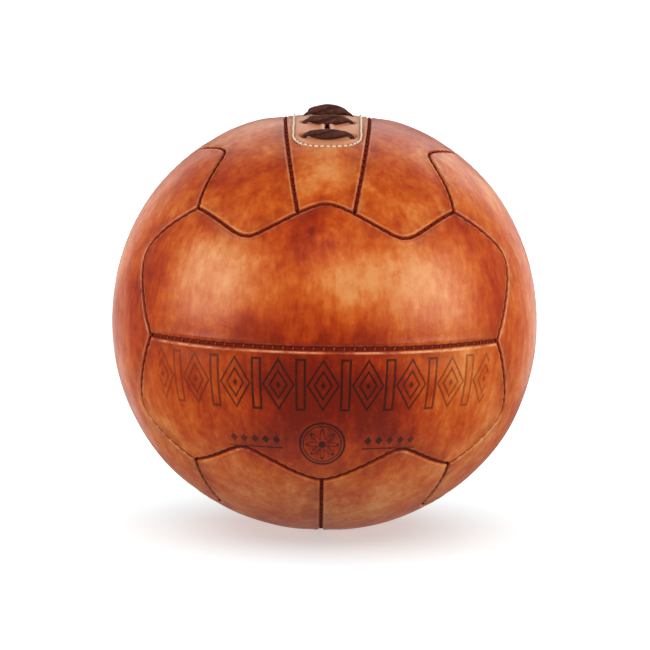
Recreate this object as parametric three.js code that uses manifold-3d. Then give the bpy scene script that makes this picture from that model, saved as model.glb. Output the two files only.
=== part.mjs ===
// Laced leather ball: thirteen hand-sewn cowhide panels over an air bladder,
// closed by a lace along the centre strip on top.
// Millimetres, +Z up, the decorated panels face -Y, origin at the centre.
import * as THREE from 'three';
import { mergeVertices } from 'three/addons/utils/BufferGeometryUtils.js';
import Module from 'manifold-3d';

const wasm = await Module();
wasm.setup();

// ---------- driving dimensions (mm, degrees) ----------
const BALL_R = 110;             // outside of the inflated cover
const LEATHER = 2.6;            // panel thickness
const SEAM_GAP = 0.15;          // half of the gap between two panels
const GROOVE_HALF = 1.15;       // half width of a seam groove at the surface
const GROOVE_DEPTH = 1.6;
const THREAD_R = 0.34;          // waxed seam thread
const THREAD_H = -0.62;         // its centre, below the surface
const THREAD_TRIM = 1.5;        // degrees left free at each end of a thread
const FLARE_R = 290;            // the cutting wedges reach this far out

const DENT = 3.4;               // the lacing pulls the top in by this much
const DENT_LAT = 18;            // its spread across the strip
const DENT_LON = 34;            // its spread along the strip

const SLIT_HALF_LENGTH = 41.5;
const SLIT_HALF_WIDTH = 1.45;
const HOLE_LAT = 6.9;           // lace holes, degrees off the middle plane
const HOLE_R = 2.15;
const LACE_LON = [-21, -10.5, 0, 10.5, 21];
const LACE_THIN = 1.3;          // lace radius in a hole
const LACE_FAT = 2.6;           // lace radius in the middle of a crossing
const LACE_CLEAR = 0.32;        // gap to the leather

const FACING_TOP = -3.5, FACING_BOTTOM = -4.7;
const FACING_HALF = [10.2, 28.3];
const LACE_UNDER = -6.9;
const TONGUE_TOP = -8.5, TONGUE_BOTTOM = -10.5;
const TONGUE_HALF = [7.4, 26.2];
const STITCH_HALF = [9.2, 26.8];
const STITCH_R = 0.42;

const BLADDER_R = 105.9;
const BLADDER_WALL = 1.1;
const NECK_TOP = 95.1, NECK_R = 4.6, NECK_BORE = 2.0;

// Offset of a seam from the cube edge it follows: [degrees along from the
// middle of the edge, degrees towards the face whose own seam is parallel].
const EDGE_CURVE = {
  x: [[0, 6.05], [1.5, 6.3], [3, 6.8], [4.5, 7.4], [6, 8.1], [7.5, 8.85], [9, 9.65], [10.5, 10.4], [12, 11.15], [13.5, 11.9], [15, 12.6], [16.5, 13.3], [18, 13.95], [19.5, 14.33], [21, 14.2], [22.5, 13.6], [24, 12.45], [25.5, 11.0], [27, 9.4], [28.5, 7.75], [30, 6.05], [31.5, 4.35], [33, 2.6], [34.5, 0.9], [35.2644, 0]],
  z: [[0, 6.5], [1.5, 7.3], [3, 8.25], [4.5, 9.05], [6, 9.8], [7.5, 10.55], [9, 11.3], [10.5, 12.07], [12, 12.85], [13.5, 13.65], [15, 14.45], [16.5, 15.2], [18, 15.8], [19.5, 16.2], [21, 16.25], [22.5, 15.75], [24, 14.65], [25.5, 13.2], [27, 11.55], [28.5, 9.8], [30, 7.9], [31.5, 5.75], [33, 3.5], [34.5, 1.2], [35.2644, 0]],
  y: [[0, 6.5], [1.5, 7.25], [3, 8.15], [4.5, 9.0], [6, 9.8], [7.5, 10.4], [9, 11.0], [10.5, 11.65], [12, 12.35], [13.5, 13.1], [15, 13.85], [16.5, 14.5], [18, 15.0], [19.5, 15.15], [21, 14.6], [22.5, 13.55], [24, 12.2], [25.5, 10.75], [27, 9.15], [28.5, 7.5], [30, 5.75], [31.5, 4.1], [33, 2.45], [34.5, 0.85], [35.2644, 0]],
};
// Half width of the centre strip: [degrees from the pole along it, degrees].
const STRIP_CURVE = [[0, 11.75], [8, 11.65], [16, 11.4], [24, 10.9], [32, 10.2], [39.5, 9.35], [46, 8.5], [53.75, 7.29]];
const HALF_STATIONS = [0, 7.29, 14, 20.3, 27.5, 35.2644];

// ---------- small maths ----------
const rad = THREE.MathUtils.degToRad, deg = THREE.MathUtils.radToDeg;
const V = (x, y, z) => new THREE.Vector3(x, y, z);
const AXES = [V(1, 0, 0), V(0, 1, 0), V(0, 0, 1)];
const AX = { x: 0, y: 1, z: 2 };

function table(tab, x) {
  let i = 1;
  while (i < tab.length - 1 && tab[i][0] < x) i++;
  const [x0, y0] = tab[i - 1], [x1, y1] = tab[i];
  return y0 + (y1 - y0) * Math.min(1, Math.max(0, (x - x0) / (x1 - x0)));
}
// lat: degrees off the plane x = 0; lon: degrees from +Z towards -Y
const latLon = (lat, lon) => V(Math.sin(rad(lat)), -Math.cos(rad(lat)) * Math.sin(rad(lon)), Math.cos(rad(lat)) * Math.cos(rad(lon)));
function dent(d) {
  const lat = deg(Math.asin(THREE.MathUtils.clamp(d.x, -1, 1)));
  const lon = deg(Math.atan2(-d.y, d.z));
  return DENT * Math.exp(-((lat / DENT_LAT) ** 2) - (lon / DENT_LON) ** 4);
}
const at = (d, h) => d.clone().multiplyScalar(BALL_R - dent(d) + h);

// ---------- seams ----------
// A cube edge runs along axis u between face a (its own seam parallel to u)
// and face b (its seam ends on this edge); t in degrees from its middle.
function edgePoint(e, t) {
  const psi = rad(45 + table(EDGE_CURVE[e.u], Math.abs(t)));
  const c = Math.cos(rad(t));
  const p = [0, 0, 0];
  p[AX[e.u]] = Math.sin(rad(t));
  p[AX[e.a]] = e.sa * c * Math.sin(psi);
  p[AX[e.b]] = e.sb * c * Math.cos(psi);
  return V(...p);
}
const OWN = { y: 'x', x: 'z', z: 'y' };       // face axis -> direction of its seam
function edgeFor(u, signs) {                  // signs: {axis: sign} for the two faces
  const [p, q] = Object.keys(signs);
  const a = OWN[p] === u ? p : q, b = a === p ? q : p;
  return { u, a, b, sa: signs[a], sb: signs[b] };
}
const ts = (from, to) => {
  const all = [...HALF_STATIONS.slice(1).reverse().map((s) => -s), ...HALF_STATIONS];
  const lo = Math.min(from, to), hi = Math.max(from, to);
  const r = all.filter((s) => s >= lo - 1e-6 && s <= hi + 1e-6);
  return from <= to ? r : r.reverse();
};
const runEdge = (e, from, to) => ts(from, to).map((t) => edgePoint(e, t));
function arc(p, q, n) {                       // great circle
  const w = p.angleTo(q), r = [];
  for (let i = 0; i <= n; i++) {
    const k = i / n;
    r.push(p.clone().multiplyScalar(Math.sin((1 - k) * w)).addScaledVector(q, Math.sin(k * w)).normalize());
  }
  return r;
}
const END = HALF_STATIONS.at(-1), JOIN = 7.29, FACE_STEPS = 10;
const stripSeam = (side) => {                 // front to back
  const r = [];
  for (let i = 0; i <= FACE_STEPS; i++) {
    const lon = 53.75 - (107.5 * i) / FACE_STEPS;
    r.push(latLon(side * table(STRIP_CURVE, Math.abs(lon)), lon));
  }
  r[0] = edgePoint(edgeFor('x', { y: -1, z: 1 }), side * JOIN);
  r[FACE_STEPS] = edgePoint(edgeFor('x', { y: 1, z: 1 }), side * JOIN);
  return r;
};
const chain = (...runs) => {                  // join runs that share their ends
  const r = [];
  for (const run of runs) for (const p of run) if (!r.length || r.at(-1).distanceTo(p) > 1e-5) r.push(p);
  if (r[0].distanceTo(r.at(-1)) < 1e-5) r.pop();
  return r;
};

// Outline of half of face (axis f, sign sf): the half on the side sc of axis c.
function halfFace(f, sf, sc) {
  const d = OWN[f];
  const c = ['x', 'y', 'z'].find((k) => k !== f && k !== d);
  const long = edgeFor(d, { [f]: sf, [c]: sc });
  const right = edgeFor(c, { [f]: sf, [d]: 1 }), left = edgeFor(c, { [f]: sf, [d]: -1 });
  const mr = edgePoint(right, 0), ml = edgePoint(left, 0);
  return chain(runEdge(long, -END, END), runEdge(right, sc * END, 0), arc(mr, ml, FACE_STEPS), runEdge(left, 0, sc * END));
}
function topSide(side) {
  const outer = edgeFor('y', { z: 1, x: side });
  const back = edgeFor('x', { y: 1, z: 1 }), front = edgeFor('x', { y: -1, z: 1 });
  return chain(runEdge(outer, -END, END), runEdge(back, side * END, side * JOIN), stripSeam(side).reverse(), runEdge(front, side * JOIN, side * END));
}
function topStrip() {
  const back = edgeFor('x', { y: 1, z: 1 }), front = edgeFor('x', { y: -1, z: 1 });
  return chain(stripSeam(1), runEdge(back, JOIN, -JOIN), stripSeam(-1).reverse(), runEdge(front, -JOIN, JOIN));
}

// ---------- solids ----------
function solid(geometry) {
  const g = geometry.index ? geometry.toNonIndexed() : geometry.clone();
  g.deleteAttribute('normal');
  if (g.hasAttribute('uv')) g.deleteAttribute('uv');
  const m = mergeVertices(g, 1e-4);
  const idx = [];
  for (let i = 0; i < m.index.count; i += 3) {
    const [a, b, c] = [m.index.getX(i), m.index.getX(i + 1), m.index.getX(i + 2)];
    if (a !== b && b !== c && a !== c) idx.push(a, b, c);
  }
  return new wasm.Manifold(new wasm.Mesh({ numProp: 3, vertProperties: new Float32Array(m.attributes.position.array), triVerts: new Uint32Array(idx) }));
}
function geometryOf(man) {
  const m = man.getMesh();
  const g = new THREE.BufferGeometry();
  g.setAttribute('position', new THREE.BufferAttribute(new Float32Array(m.vertProperties), 3));
  g.setIndex(new THREE.BufferAttribute(new Uint32Array(m.triVerts), 1));
  g.computeVertexNormals();
  return g;
}
// A ball whose surface lies h from the outside of the cover, dented on top.
function skin(h, detail) {
  const g = new THREE.IcosahedronGeometry(1, detail);
  const p = g.attributes.position;
  for (let i = 0; i < p.count; i++) {
    const d = V(p.getX(i), p.getY(i), p.getZ(i)).normalize();
    p.setXYZ(i, ...at(d, h).toArray());
  }
  return solid(g);
}
// A wedge from near the centre outwards through a closed line of directions;
// rings: [radius, inset mm at the cover's surface].
function wedge(dirs, rings) {
  const mid = dirs.reduce((s, p) => s.add(p), V(0, 0, 0)).normalize();
  const ref = Math.abs(mid.z) < 0.9 ? V(0, 0, 1) : V(0, 1, 0);
  const ex = V(0, 0, 0).crossVectors(ref, mid).normalize(), ey = V(0, 0, 0).crossVectors(mid, ex);
  const flat = dirs.map((p) => new THREE.Vector2(p.dot(ex) / p.dot(mid), p.dot(ey) / p.dot(mid)));
  const n = dirs.length;
  const ccw = THREE.ShapeUtils.area(flat) > 0;
  const pts = ccw ? flat : flat.slice().reverse();
  const ds = ccw ? dirs : dirs.slice().reverse();
  // direction on the sphere pointing into the outline at each corner, mitred
  const inward = ds.map((p, i) => {
    const a = ds[(i + n - 1) % n], b = ds[(i + 1) % n];
    const t1 = p.clone().sub(a).projectOnPlane(p).normalize(), t2 = b.clone().sub(p).projectOnPlane(p).normalize();
    const n1 = V(0, 0, 0).crossVectors(p, t1), n2 = V(0, 0, 0).crossVectors(p, t2);
    const s = n1.clone().add(n2).normalize();
    return s.multiplyScalar(1 / Math.max(0.5, s.dot(n1)));
  });
  const steps = rings.length - 1;
  const g = new THREE.ExtrudeGeometry(new THREE.Shape(pts), { depth: steps, steps, bevelEnabled: false });
  const pos = g.attributes.position;
  for (let k = 0; k < pos.count; k++) {
    let i = 0, best = Infinity;
    pts.forEach((q, j) => { const e = Math.hypot(q.x - pos.getX(k), q.y - pos.getY(k)); if (e < best) { best = e; i = j; } });
    const [ring, inset] = rings[Math.round(pos.getZ(k))];
    const d = ds[i].clone().addScaledVector(inward[i], inset / BALL_R).normalize();
    const r = ring - (Math.abs(ring - BALL_R) < 5 ? dent(d) : 0);
    pos.setXYZ(k, d.x * r, d.y * r, d.z * r);
  }
  return solid(g);
}
// A bar of round section through a list of points, its radius given at each,
// made by laying a straight extrusion along them.
function bar(points, radii, sides, up) {
  const n = points.length;
  const shape = new THREE.Shape(Array.from({ length: sides }, (_, i) => new THREE.Vector2(Math.cos((2 * Math.PI * i) / sides), Math.sin((2 * Math.PI * i) / sides))));
  const g = new THREE.ExtrudeGeometry(shape, { depth: n - 1, steps: n - 1, bevelEnabled: false });
  const T = points.map((p, i) => points[Math.min(n - 1, i + 1)].clone().sub(points[Math.max(0, i - 1)]).normalize());
  const N = [], B = [];
  let prev = up ? up(points[0]) : V(0, 0, 1);
  for (let i = 0; i < n; i++) {
    const ref = up ? up(points[i]) : prev;
    const nn = ref.clone().addScaledVector(T[i], -ref.dot(T[i])).normalize();
    N.push(nn);
    B.push(V(0, 0, 0).crossVectors(T[i], nn));
    prev = nn;
  }
  const pos = g.attributes.position;
  for (let k = 0; k < pos.count; k++) {
    const i = Math.round(pos.getZ(k));
    const q = points[i].clone().addScaledVector(N[i], pos.getX(k) * radii[i]).addScaledVector(B[i], pos.getY(k) * radii[i]);
    pos.setXYZ(k, q.x, q.y, q.z);
  }
  return g;
}

const group = new THREE.Group();
const cover = new THREE.Group(), seams = new THREE.Group(), lacing = new THREE.Group(), inside = new THREE.Group();
group.add(cover, seams, lacing, inside);
function add(parent, name, geometry, color, roughness) {
  const mesh = new THREE.Mesh(geometry, new THREE.MeshStandardMaterial({ color, roughness, metalness: 0 }));
  mesh.name = name;
  parent.add(mesh);
}

// ---------- leather panels ----------
const outer = skin(0, 7), inner = skin(-LEATHER, 4);
const shell = outer.subtract(inner);
const RINGS = [[15, SEAM_GAP], [BALL_R - GROOVE_DEPTH, SEAM_GAP], [BALL_R, GROOVE_HALF], [BALL_R + 1, GROOVE_HALF * 1.3], [FLARE_R, GROOVE_HALF * 1.3]];
const panel = (dirs) => shell.intersect(wedge(dirs, RINGS));

const PANELS = {
  panel_front_upper: [halfFace('y', -1, 1), '#b0602a'],
  panel_front_lower: [halfFace('y', -1, -1), '#a85a26'],
  panel_back_upper: [halfFace('y', 1, 1), '#ad5c28'],
  panel_back_lower: [halfFace('y', 1, -1), '#a65826'],
  panel_left_front: [halfFace('x', -1, -1), '#a95a2a'],
  panel_left_back: [halfFace('x', -1, 1), '#a85827'],
  panel_right_front: [halfFace('x', 1, -1), '#aa5b29'],
  panel_right_back: [halfFace('x', 1, 1), '#a75726'],
  panel_bottom_left: [halfFace('z', -1, -1), '#a05424'],
  panel_bottom_right: [halfFace('z', -1, 1), '#9f5324'],
  panel_top_left: [topSide(-1), '#b8672f'],
  panel_top_right: [topSide(1), '#b6652e'],
};
for (const [name, [dirs, color]] of Object.entries(PANELS)) add(cover, name, geometryOf(panel(dirs)), color, 0.36);

// ---------- centre strip with slit, lace holes and stitch groove ----------
const slitShape = new THREE.Shape();
slitShape.moveTo(SLIT_HALF_WIDTH, -SLIT_HALF_LENGTH);
slitShape.lineTo(SLIT_HALF_WIDTH, SLIT_HALF_LENGTH);
slitShape.absarc(0, SLIT_HALF_LENGTH, SLIT_HALF_WIDTH, 0, Math.PI);
slitShape.lineTo(-SLIT_HALF_WIDTH, -SLIT_HALF_LENGTH);
slitShape.absarc(0, -SLIT_HALF_LENGTH, SLIT_HALF_WIDTH, Math.PI, 2 * Math.PI);
const slitGeometry = new THREE.ExtrudeGeometry(slitShape, { depth: 60, bevelEnabled: false, curveSegments: 4 });
slitGeometry.translate(0, 0, 70);
const slit = solid(slitGeometry);
let holes = null;
for (const lon of LACE_LON) for (const side of [-1, 1]) {
  const d = latLon(side * HOLE_LAT, lon);
  const g = new THREE.CylinderGeometry(HOLE_R, HOLE_R, 24, 8);
  g.applyQuaternion(new THREE.Quaternion().setFromUnitVectors(V(0, 1, 0), d));
  g.translate(...at(d, -3).toArray());
  const s = solid(g);
  holes = holes ? holes.add(s) : s;
}
function roundedOutline([hx, hy], corner, n) {    // degrees, as directions
  const s = new THREE.Shape();
  const x = hx - corner, y = hy - corner;
  s.moveTo(hx, -y);
  s.lineTo(hx, y);
  s.absarc(x, y, corner, 0, Math.PI / 2);
  s.lineTo(-x, hy);
  s.absarc(-x, y, corner, Math.PI / 2, Math.PI);
  s.lineTo(-hx, -y);
  s.absarc(-x, -y, corner, Math.PI, 1.5 * Math.PI);
  s.lineTo(x, -hy);
  s.absarc(x, -y, corner, 1.5 * Math.PI, 2 * Math.PI);
  const pts = s.getSpacedPoints(n);
  pts.pop();
  return pts;
}
const STITCH_N = 48;
const stitchLine = roundedOutline(STITCH_HALF, 4, STITCH_N);
function stitchLoop(radius, h, sides) {
  const g = new THREE.TorusGeometry(10, 1, sides, STITCH_N);
  const p = g.attributes.position;
  for (let k = 0; k < p.count; k++) {
    const x = p.getX(k), y = p.getY(k);
    const i = ((Math.round((Math.atan2(y, x) / (2 * Math.PI)) * STITCH_N) % STITCH_N) + STITCH_N) % STITCH_N;
    const a = stitchLine[(i + STITCH_N - 1) % STITCH_N], b = stitchLine[(i + 1) % STITCH_N], c = stitchLine[i];
    const t = b.clone().sub(a).normalize();
    const off = (Math.hypot(x, y) - 10) * radius * (180 / Math.PI / BALL_R);
    const d = latLon(c.x + t.y * off, -(c.y - t.x * off));
    p.setXYZ(k, ...at(d, h + p.getZ(k) * radius).toArray());
  }
  return g;
}
const strip = panel(topStrip()).subtract(slit).subtract(holes).subtract(solid(stitchLoop(1.05, 0, 4)));
add(cover, 'panel_top_strip', geometryOf(strip), '#c07a45', 0.42);
add(lacing, 'facing_stitch', stitchLoop(STITCH_R, -0.05, 5), '#e8d3ae', 0.8);

// ---------- lace ----------
const lacePts = [], laceR = [];
const lp = (lat, lon, h, r) => { lacePts.push(at(latLon(lat, lon), h)); laceR.push(r); };
LACE_LON.forEach((lon, k) => {
  if (k === 0) { lp(-1.2, lon, LACE_UNDER, 1.1); lp(-3.2, lon, LACE_UNDER, 1.15); lp(-5.5, lon, LACE_UNDER + 0.15, 1.15); }
  lp(-HOLE_LAT + 0.12, lon, LACE_UNDER + 1.2, 1.15);
  lp(-HOLE_LAT, lon, LACE_UNDER + 2.5, 1.15);
  lp(-HOLE_LAT, lon, -2.6, 1.2);
  lp(-HOLE_LAT, lon, -0.4, LACE_THIN);
  lp(-HOLE_LAT + 0.45, lon, 1.35, LACE_THIN);
  lp(-HOLE_LAT + 1.75, lon, LACE_CLEAR + 1.9, 1.7);
  lp(-3.4, lon, LACE_CLEAR + 2.3, 2.15);
  lp(-1.5, lon, LACE_CLEAR + LACE_FAT, 2.4);
  lp(0.4, lon, LACE_CLEAR + LACE_FAT, LACE_FAT);
  lp(2.2, lon, LACE_CLEAR + LACE_FAT, 2.35);
  lp(3.8, lon, LACE_CLEAR + 2.25, 2.05);
  lp(HOLE_LAT - 1.75, lon, LACE_CLEAR + 1.9, 1.7);
  lp(HOLE_LAT - 0.45, lon, 1.35, LACE_THIN);
  lp(HOLE_LAT, lon, -0.4, LACE_THIN);
  lp(HOLE_LAT, lon, -2.6, 1.2);
  lp(HOLE_LAT, lon, LACE_UNDER + 2.5, 1.15);
  lp(HOLE_LAT - 0.12, lon, LACE_UNDER + 1.2, 1.15);
  if (k < LACE_LON.length - 1) {
    const next = LACE_LON[k + 1];
    for (const f of [0.09, 0.35, 0.65, 0.91]) lp(HOLE_LAT * (1 - 2 * f), lon + (next - lon) * f, f === 0.09 || f === 0.91 ? LACE_UNDER + 0.1 : LACE_UNDER, 1.15);
  } else { lp(5.5, lon, LACE_UNDER + 0.15, 1.15); lp(3.2, lon, LACE_UNDER, 1.15); lp(1.2, lon, LACE_UNDER, 1.1); }
});
add(lacing, 'lace', bar(lacePts, laceR, 6), '#33160f', 0.75);

// ---------- facing and tongue under the slit ----------
const patch = (half, top, bottom) => skin(top, 7).subtract(skin(bottom, 7)).intersect(
  wedge(roundedOutline(half, 4, 32).map((q) => latLon(q.x, -q.y)), [[15, 0], [FLARE_R, 0]]));
add(lacing, 'lace_facing', geometryOf(patch(FACING_HALF, FACING_TOP, FACING_BOTTOM).subtract(slit).subtract(holes)), '#9a6b42', 0.7);
add(inside, 'tongue', geometryOf(patch(TONGUE_HALF, TONGUE_TOP, TONGUE_BOTTOM)), '#6b3c20', 0.7);

// ---------- bladder and the tie round its folded neck ----------
const polar = (theta, r) => new THREE.Vector2(r * Math.sin(rad(theta)), r * Math.cos(rad(theta)));
const outside = [], within = [];
outside.push(new THREE.Vector2(NECK_R, NECK_TOP), new THREE.Vector2(NECK_R, NECK_TOP - 1.6), new THREE.Vector2(3.9, NECK_TOP - 2.6), new THREE.Vector2(3.9, NECK_TOP - 4), new THREE.Vector2(NECK_R, NECK_TOP - 5), new THREE.Vector2(7, 89.2));
const DIMPLE = [[13, 90.2], [20, 92.2], [26, 94.8], [29.5, 98.2], [32.5, 102.2], [36, 105.2], [40, BLADDER_R]];
for (const [th, r] of DIMPLE) outside.push(polar(th, r));
for (let th = 52; th <= 172.1; th += 12) outside.push(polar(th, BLADDER_R));
outside.push(new THREE.Vector2(0, -BLADDER_R));
within.push(new THREE.Vector2(0, -(BLADDER_R - BLADDER_WALL)));
for (let th = 172; th >= 51.9; th -= 12) within.push(polar(th, BLADDER_R - BLADDER_WALL));
for (const [th, r] of DIMPLE.slice().reverse()) within.push(polar(th + (th < 40 ? 0.4 : 0), r - BLADDER_WALL));
within.push(new THREE.Vector2(7, 88.0), new THREE.Vector2(NECK_BORE, 88.6), new THREE.Vector2(NECK_BORE, NECK_TOP));
function lathe(points, segments) {
  const g = new THREE.LatheGeometry(points, segments);
  g.rotateX(Math.PI / 2);
  return g;
}
// from the inside pole, up the inner wall and the bore, down the outer wall
const wall = [...within, ...outside];
const bladderGeometry = lathe(wall, 16);
let bladder = solid(bladderGeometry);
if (bladder.volume() < 0) bladder = solid(lathe(wall.slice().reverse(), 16));
add(inside, 'bladder', geometryOf(bladder), '#8c2f24', 0.6);

const tieRing = [];
for (let i = 0; i <= 6; i++) tieRing.push(new THREE.Vector2(5.25 + 0.8 * Math.cos((2 * Math.PI * i) / 6), NECK_TOP - 3.3 + 0.8 * Math.sin((2 * Math.PI * i) / 6)));
let tie = solid(lathe(tieRing, 16));
if (tie.volume() < 0) tie = solid(lathe(tieRing.slice().reverse(), 16));
add(inside, 'bladder_neck_tie', geometryOf(tie), '#d8c7a4', 0.85);

// ---------- waxed thread in every seam ----------
const radial = (p) => p.clone().normalize();
function trim(dirs, a, b) {                       // shorten a run by a, b degrees
  let r = dirs.map((d) => d.clone());
  for (const [cut, flip] of [[a, false], [b, true]]) {
    if (flip) r.reverse();
    let left = rad(cut);
    while (left > 0 && r[0].angleTo(r[1]) <= left + 0.006) { left -= r[0].angleTo(r[1]); r.shift(); if (left < 0) left = 0; }
    if (left > 0) r[0] = r[0].clone().lerp(r[1], left / r[0].angleTo(r[1])).normalize();
    if (flip) r.reverse();
  }
  return r;
}
function thread(name, dirs) {
  const d = trim(dirs, THREAD_TRIM, THREAD_TRIM);
  add(seams, name, bar(d.map((p) => at(p, THREAD_H)), d.map(() => THREAD_R), 5, radial), '#3a160f', 0.7);
}
const SIDE = { x: { '-1': 'left', 1: 'right' }, y: { '-1': 'front', 1: 'back' }, z: { '-1': 'bottom', 1: 'top' } };
for (const [u, p, q] of [['x', 'y', 'z'], ['z', 'y', 'x'], ['y', 'x', 'z']])
  for (const sp of [-1, 1]) for (const sq of [-1, 1])
    thread(`seam_${SIDE[p][sp]}_${SIDE[q][sq]}`, runEdge(edgeFor(u, { [p]: sp, [q]: sq }), -END, END));
for (const [f, sf] of [['y', -1], ['y', 1], ['x', -1], ['x', 1], ['z', -1]]) {
  const d = OWN[f], c = ['x', 'y', 'z'].find((k) => k !== f && k !== d);
  thread(`seam_${SIDE[f][sf]}_middle`, arc(edgePoint(edgeFor(c, { [f]: sf, [d]: -1 }), 0), edgePoint(edgeFor(c, { [f]: sf, [d]: 1 }), 0), FACE_STEPS));
}
for (const side of [-1, 1]) thread(`seam_top_strip_${SIDE.x[side]}`, stripSeam(side));

export default group;
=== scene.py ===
import math

import bpy
import numpy as np
from mathutils import Matrix, Vector
from mathutils.geometry import delaunay_2d_cdt


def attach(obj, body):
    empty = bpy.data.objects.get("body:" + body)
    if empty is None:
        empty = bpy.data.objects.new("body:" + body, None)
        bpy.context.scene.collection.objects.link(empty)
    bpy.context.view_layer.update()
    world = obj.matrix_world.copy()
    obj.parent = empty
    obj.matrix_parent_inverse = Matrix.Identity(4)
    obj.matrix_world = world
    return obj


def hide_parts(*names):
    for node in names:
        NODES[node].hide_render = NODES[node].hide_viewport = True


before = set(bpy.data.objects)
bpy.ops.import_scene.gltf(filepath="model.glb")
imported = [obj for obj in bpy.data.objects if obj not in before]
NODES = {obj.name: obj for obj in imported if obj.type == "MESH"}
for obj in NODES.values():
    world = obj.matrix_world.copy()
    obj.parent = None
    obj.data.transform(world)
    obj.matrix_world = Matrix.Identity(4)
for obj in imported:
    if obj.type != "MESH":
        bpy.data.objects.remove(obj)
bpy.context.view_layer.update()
SCENE = bpy.context.scene

# ------------------------------------------------------------------ sizes, mm
R = 110.0
LEATHER = 2.7
END, JOIN = 35.2644, 7.29
STRIP_END = 53.75
DENT, DENT_LAT, DENT_LON = 3.4, 18.0, 34.0
LACE_LON = [-22.0, -10.9, 0.0, 10.9, 22.0]
HOLE_LAT = (-6.3, 6.75)
LACE_THIN, LACE_FAT, LACE_CLEAR, LACE_UNDER = 1.3, 2.6, 0.32, -6.9
STITCH_HALF = (9.2, 26.8)
SLIT_HALF = (1.55, 41.0)
PITCH = 5.1

EDGE_CURVE = {
    "x": [(0, 6.05), (1.5, 6.3), (3, 6.8), (4.5, 7.4), (6, 8.1), (7.5, 8.85), (9, 9.65), (10.5, 10.4), (12, 11.15), (13.5, 11.9), (15, 12.6), (16.5, 13.3), (18, 13.95), (19.5, 14.33), (21, 14.2), (22.5, 13.6), (24, 12.45), (25.5, 11.0), (27, 9.4), (28.5, 7.75), (30, 6.05), (31.5, 4.35), (33, 2.6), (34.5, 0.9), (35.2644, 0)],
    "z": [(0, 6.5), (1.5, 7.3), (3, 8.25), (4.5, 9.05), (6, 9.8), (7.5, 10.55), (9, 11.3), (10.5, 12.07), (12, 12.85), (13.5, 13.65), (15, 14.45), (16.5, 15.2), (18, 15.8), (19.5, 16.2), (21, 16.25), (22.5, 15.75), (24, 14.65), (25.5, 13.2), (27, 11.55), (28.5, 9.8), (30, 7.9), (31.5, 5.75), (33, 3.5), (34.5, 1.2), (35.2644, 0)],
    "y": [(0, 6.5), (1.5, 7.25), (3, 8.15), (4.5, 9.0), (6, 9.8), (7.5, 10.4), (9, 11.0), (10.5, 11.65), (12, 12.35), (13.5, 13.1), (15, 13.85), (16.5, 14.5), (18, 15.0), (19.5, 15.15), (21, 14.6), (22.5, 13.55), (24, 12.2), (25.5, 10.75), (27, 9.15), (28.5, 7.5), (30, 5.75), (31.5, 4.1), (33, 2.45), (34.5, 0.85), (35.2644, 0)],
}
STRIP_CURVE = [(0, 11.75), (8, 11.65), (16, 11.4), (24, 10.9), (32, 10.2), (39.5, 9.35), (46, 8.5), (53.75, 7.29)]


def unit(v):
    return v / np.linalg.norm(v, axis=-1, keepdims=True)


def smooth_table(tab, sigma):
    """A table made even and soft: its values on a fine grid from 0 to its end, mirrored at 0."""
    x = np.array([p[0] for p in tab], float)
    y = np.array([p[1] for p in tab], float)
    g = np.linspace(0, x[-1], 800)
    v = np.interp(g, x, y)
    full = np.r_[v[::-1][:-1], v]
    line = np.interp(np.linspace(-1, 1, full.size), [-1, 1], [full[0], full[-1]])
    step = g[1]
    k = np.exp(-0.5 * (np.arange(-200, 201) * step / sigma) ** 2)
    k /= k.sum()
    pad = 200
    # extend by point reflection at the ends, so that the ends stay where they are
    left = 2 * full[0] - full[1:pad + 1][::-1]
    right = 2 * full[-1] - full[-pad - 1:-1][::-1]
    sm = np.convolve(np.r_[left, full, right], k, "valid")
    sm = sm[sm.size // 2:]
    return g, sm[:g.size]


CURVES = {k: smooth_table(t, 0.75) for k, t in EDGE_CURVE.items()}
STRIP = smooth_table(STRIP_CURVE, 1.5)

AX = {"x": 0, "y": 1, "z": 2}
OWN = {"y": "x", "x": "z", "z": "y"}


def edge_for(u, signs):
    p, q = list(signs)
    a = p if OWN[p] == u else q
    b = q if a == p else p
    return (u, a, b, signs[a], signs[b])


def edge_point(e, t):
    u, a, b, sa, sb = e
    t = np.asarray(t, float)
    g, v = CURVES[u]
    psi = np.radians(45 + np.interp(np.abs(t), g, v))
    c = np.cos(np.radians(t))
    p = np.zeros(t.shape + (3,))
    p[..., AX[u]] = np.sin(np.radians(t))
    p[..., AX[a]] = sa * c * np.sin(psi)
    p[..., AX[b]] = sb * c * np.cos(psi)
    return p


def lat_lon(lat, lon):
    lat, lon = np.radians(lat), np.radians(lon)
    return np.stack([np.sin(lat) + 0 * lon, -np.cos(lat) * np.sin(lon), np.cos(lat) * np.cos(lon)], -1)


def resample(fine, step):
    d = np.r_[0, np.cumsum(np.linalg.norm(np.diff(fine, axis=0), axis=1))]
    n = max(2, int(round(d[-1] * R / step)))
    s = np.linspace(0, d[-1], n + 1)
    return unit(np.stack([np.interp(s, d, fine[:, i]) for i in range(3)], 1)), s * R


STEP = 0.62
SEAMS = {}     # name -> dict(parts=[(t0, t1, dirs, s)], length)


def seam_name(faces):
    return "_".join(faces)


SIDE = {("x", -1): "left", ("x", 1): "right", ("y", -1): "front", ("y", 1): "back", ("z", -1): "bottom", ("z", 1): "top"}


def add_seam(name, runs, width, valley=0.42):
    parts, s0 = [], 0.0
    for key, fine in runs:
        dirs, s = resample(fine, STEP)
        parts.append((key, dirs, s + s0))
        s0 += s[-1]
    n = max(1, int(round(s0 / PITCH)))
    SEAMS[name] = {"parts": parts, "length": s0, "pitch": s0 / n, "count": n, "width": width, "valley": valley}


def edge_id(e):
    u, a, b, sa, sb = e
    order = [("y", "z"), ("y", "x"), ("x", "z")]
    for p, q in order:
        if {p, q} == {a, b}:
            s = {a: sa, b: sb}
            return f"{SIDE[(p, s[p])]}_{SIDE[(q, s[q])]}"


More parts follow.
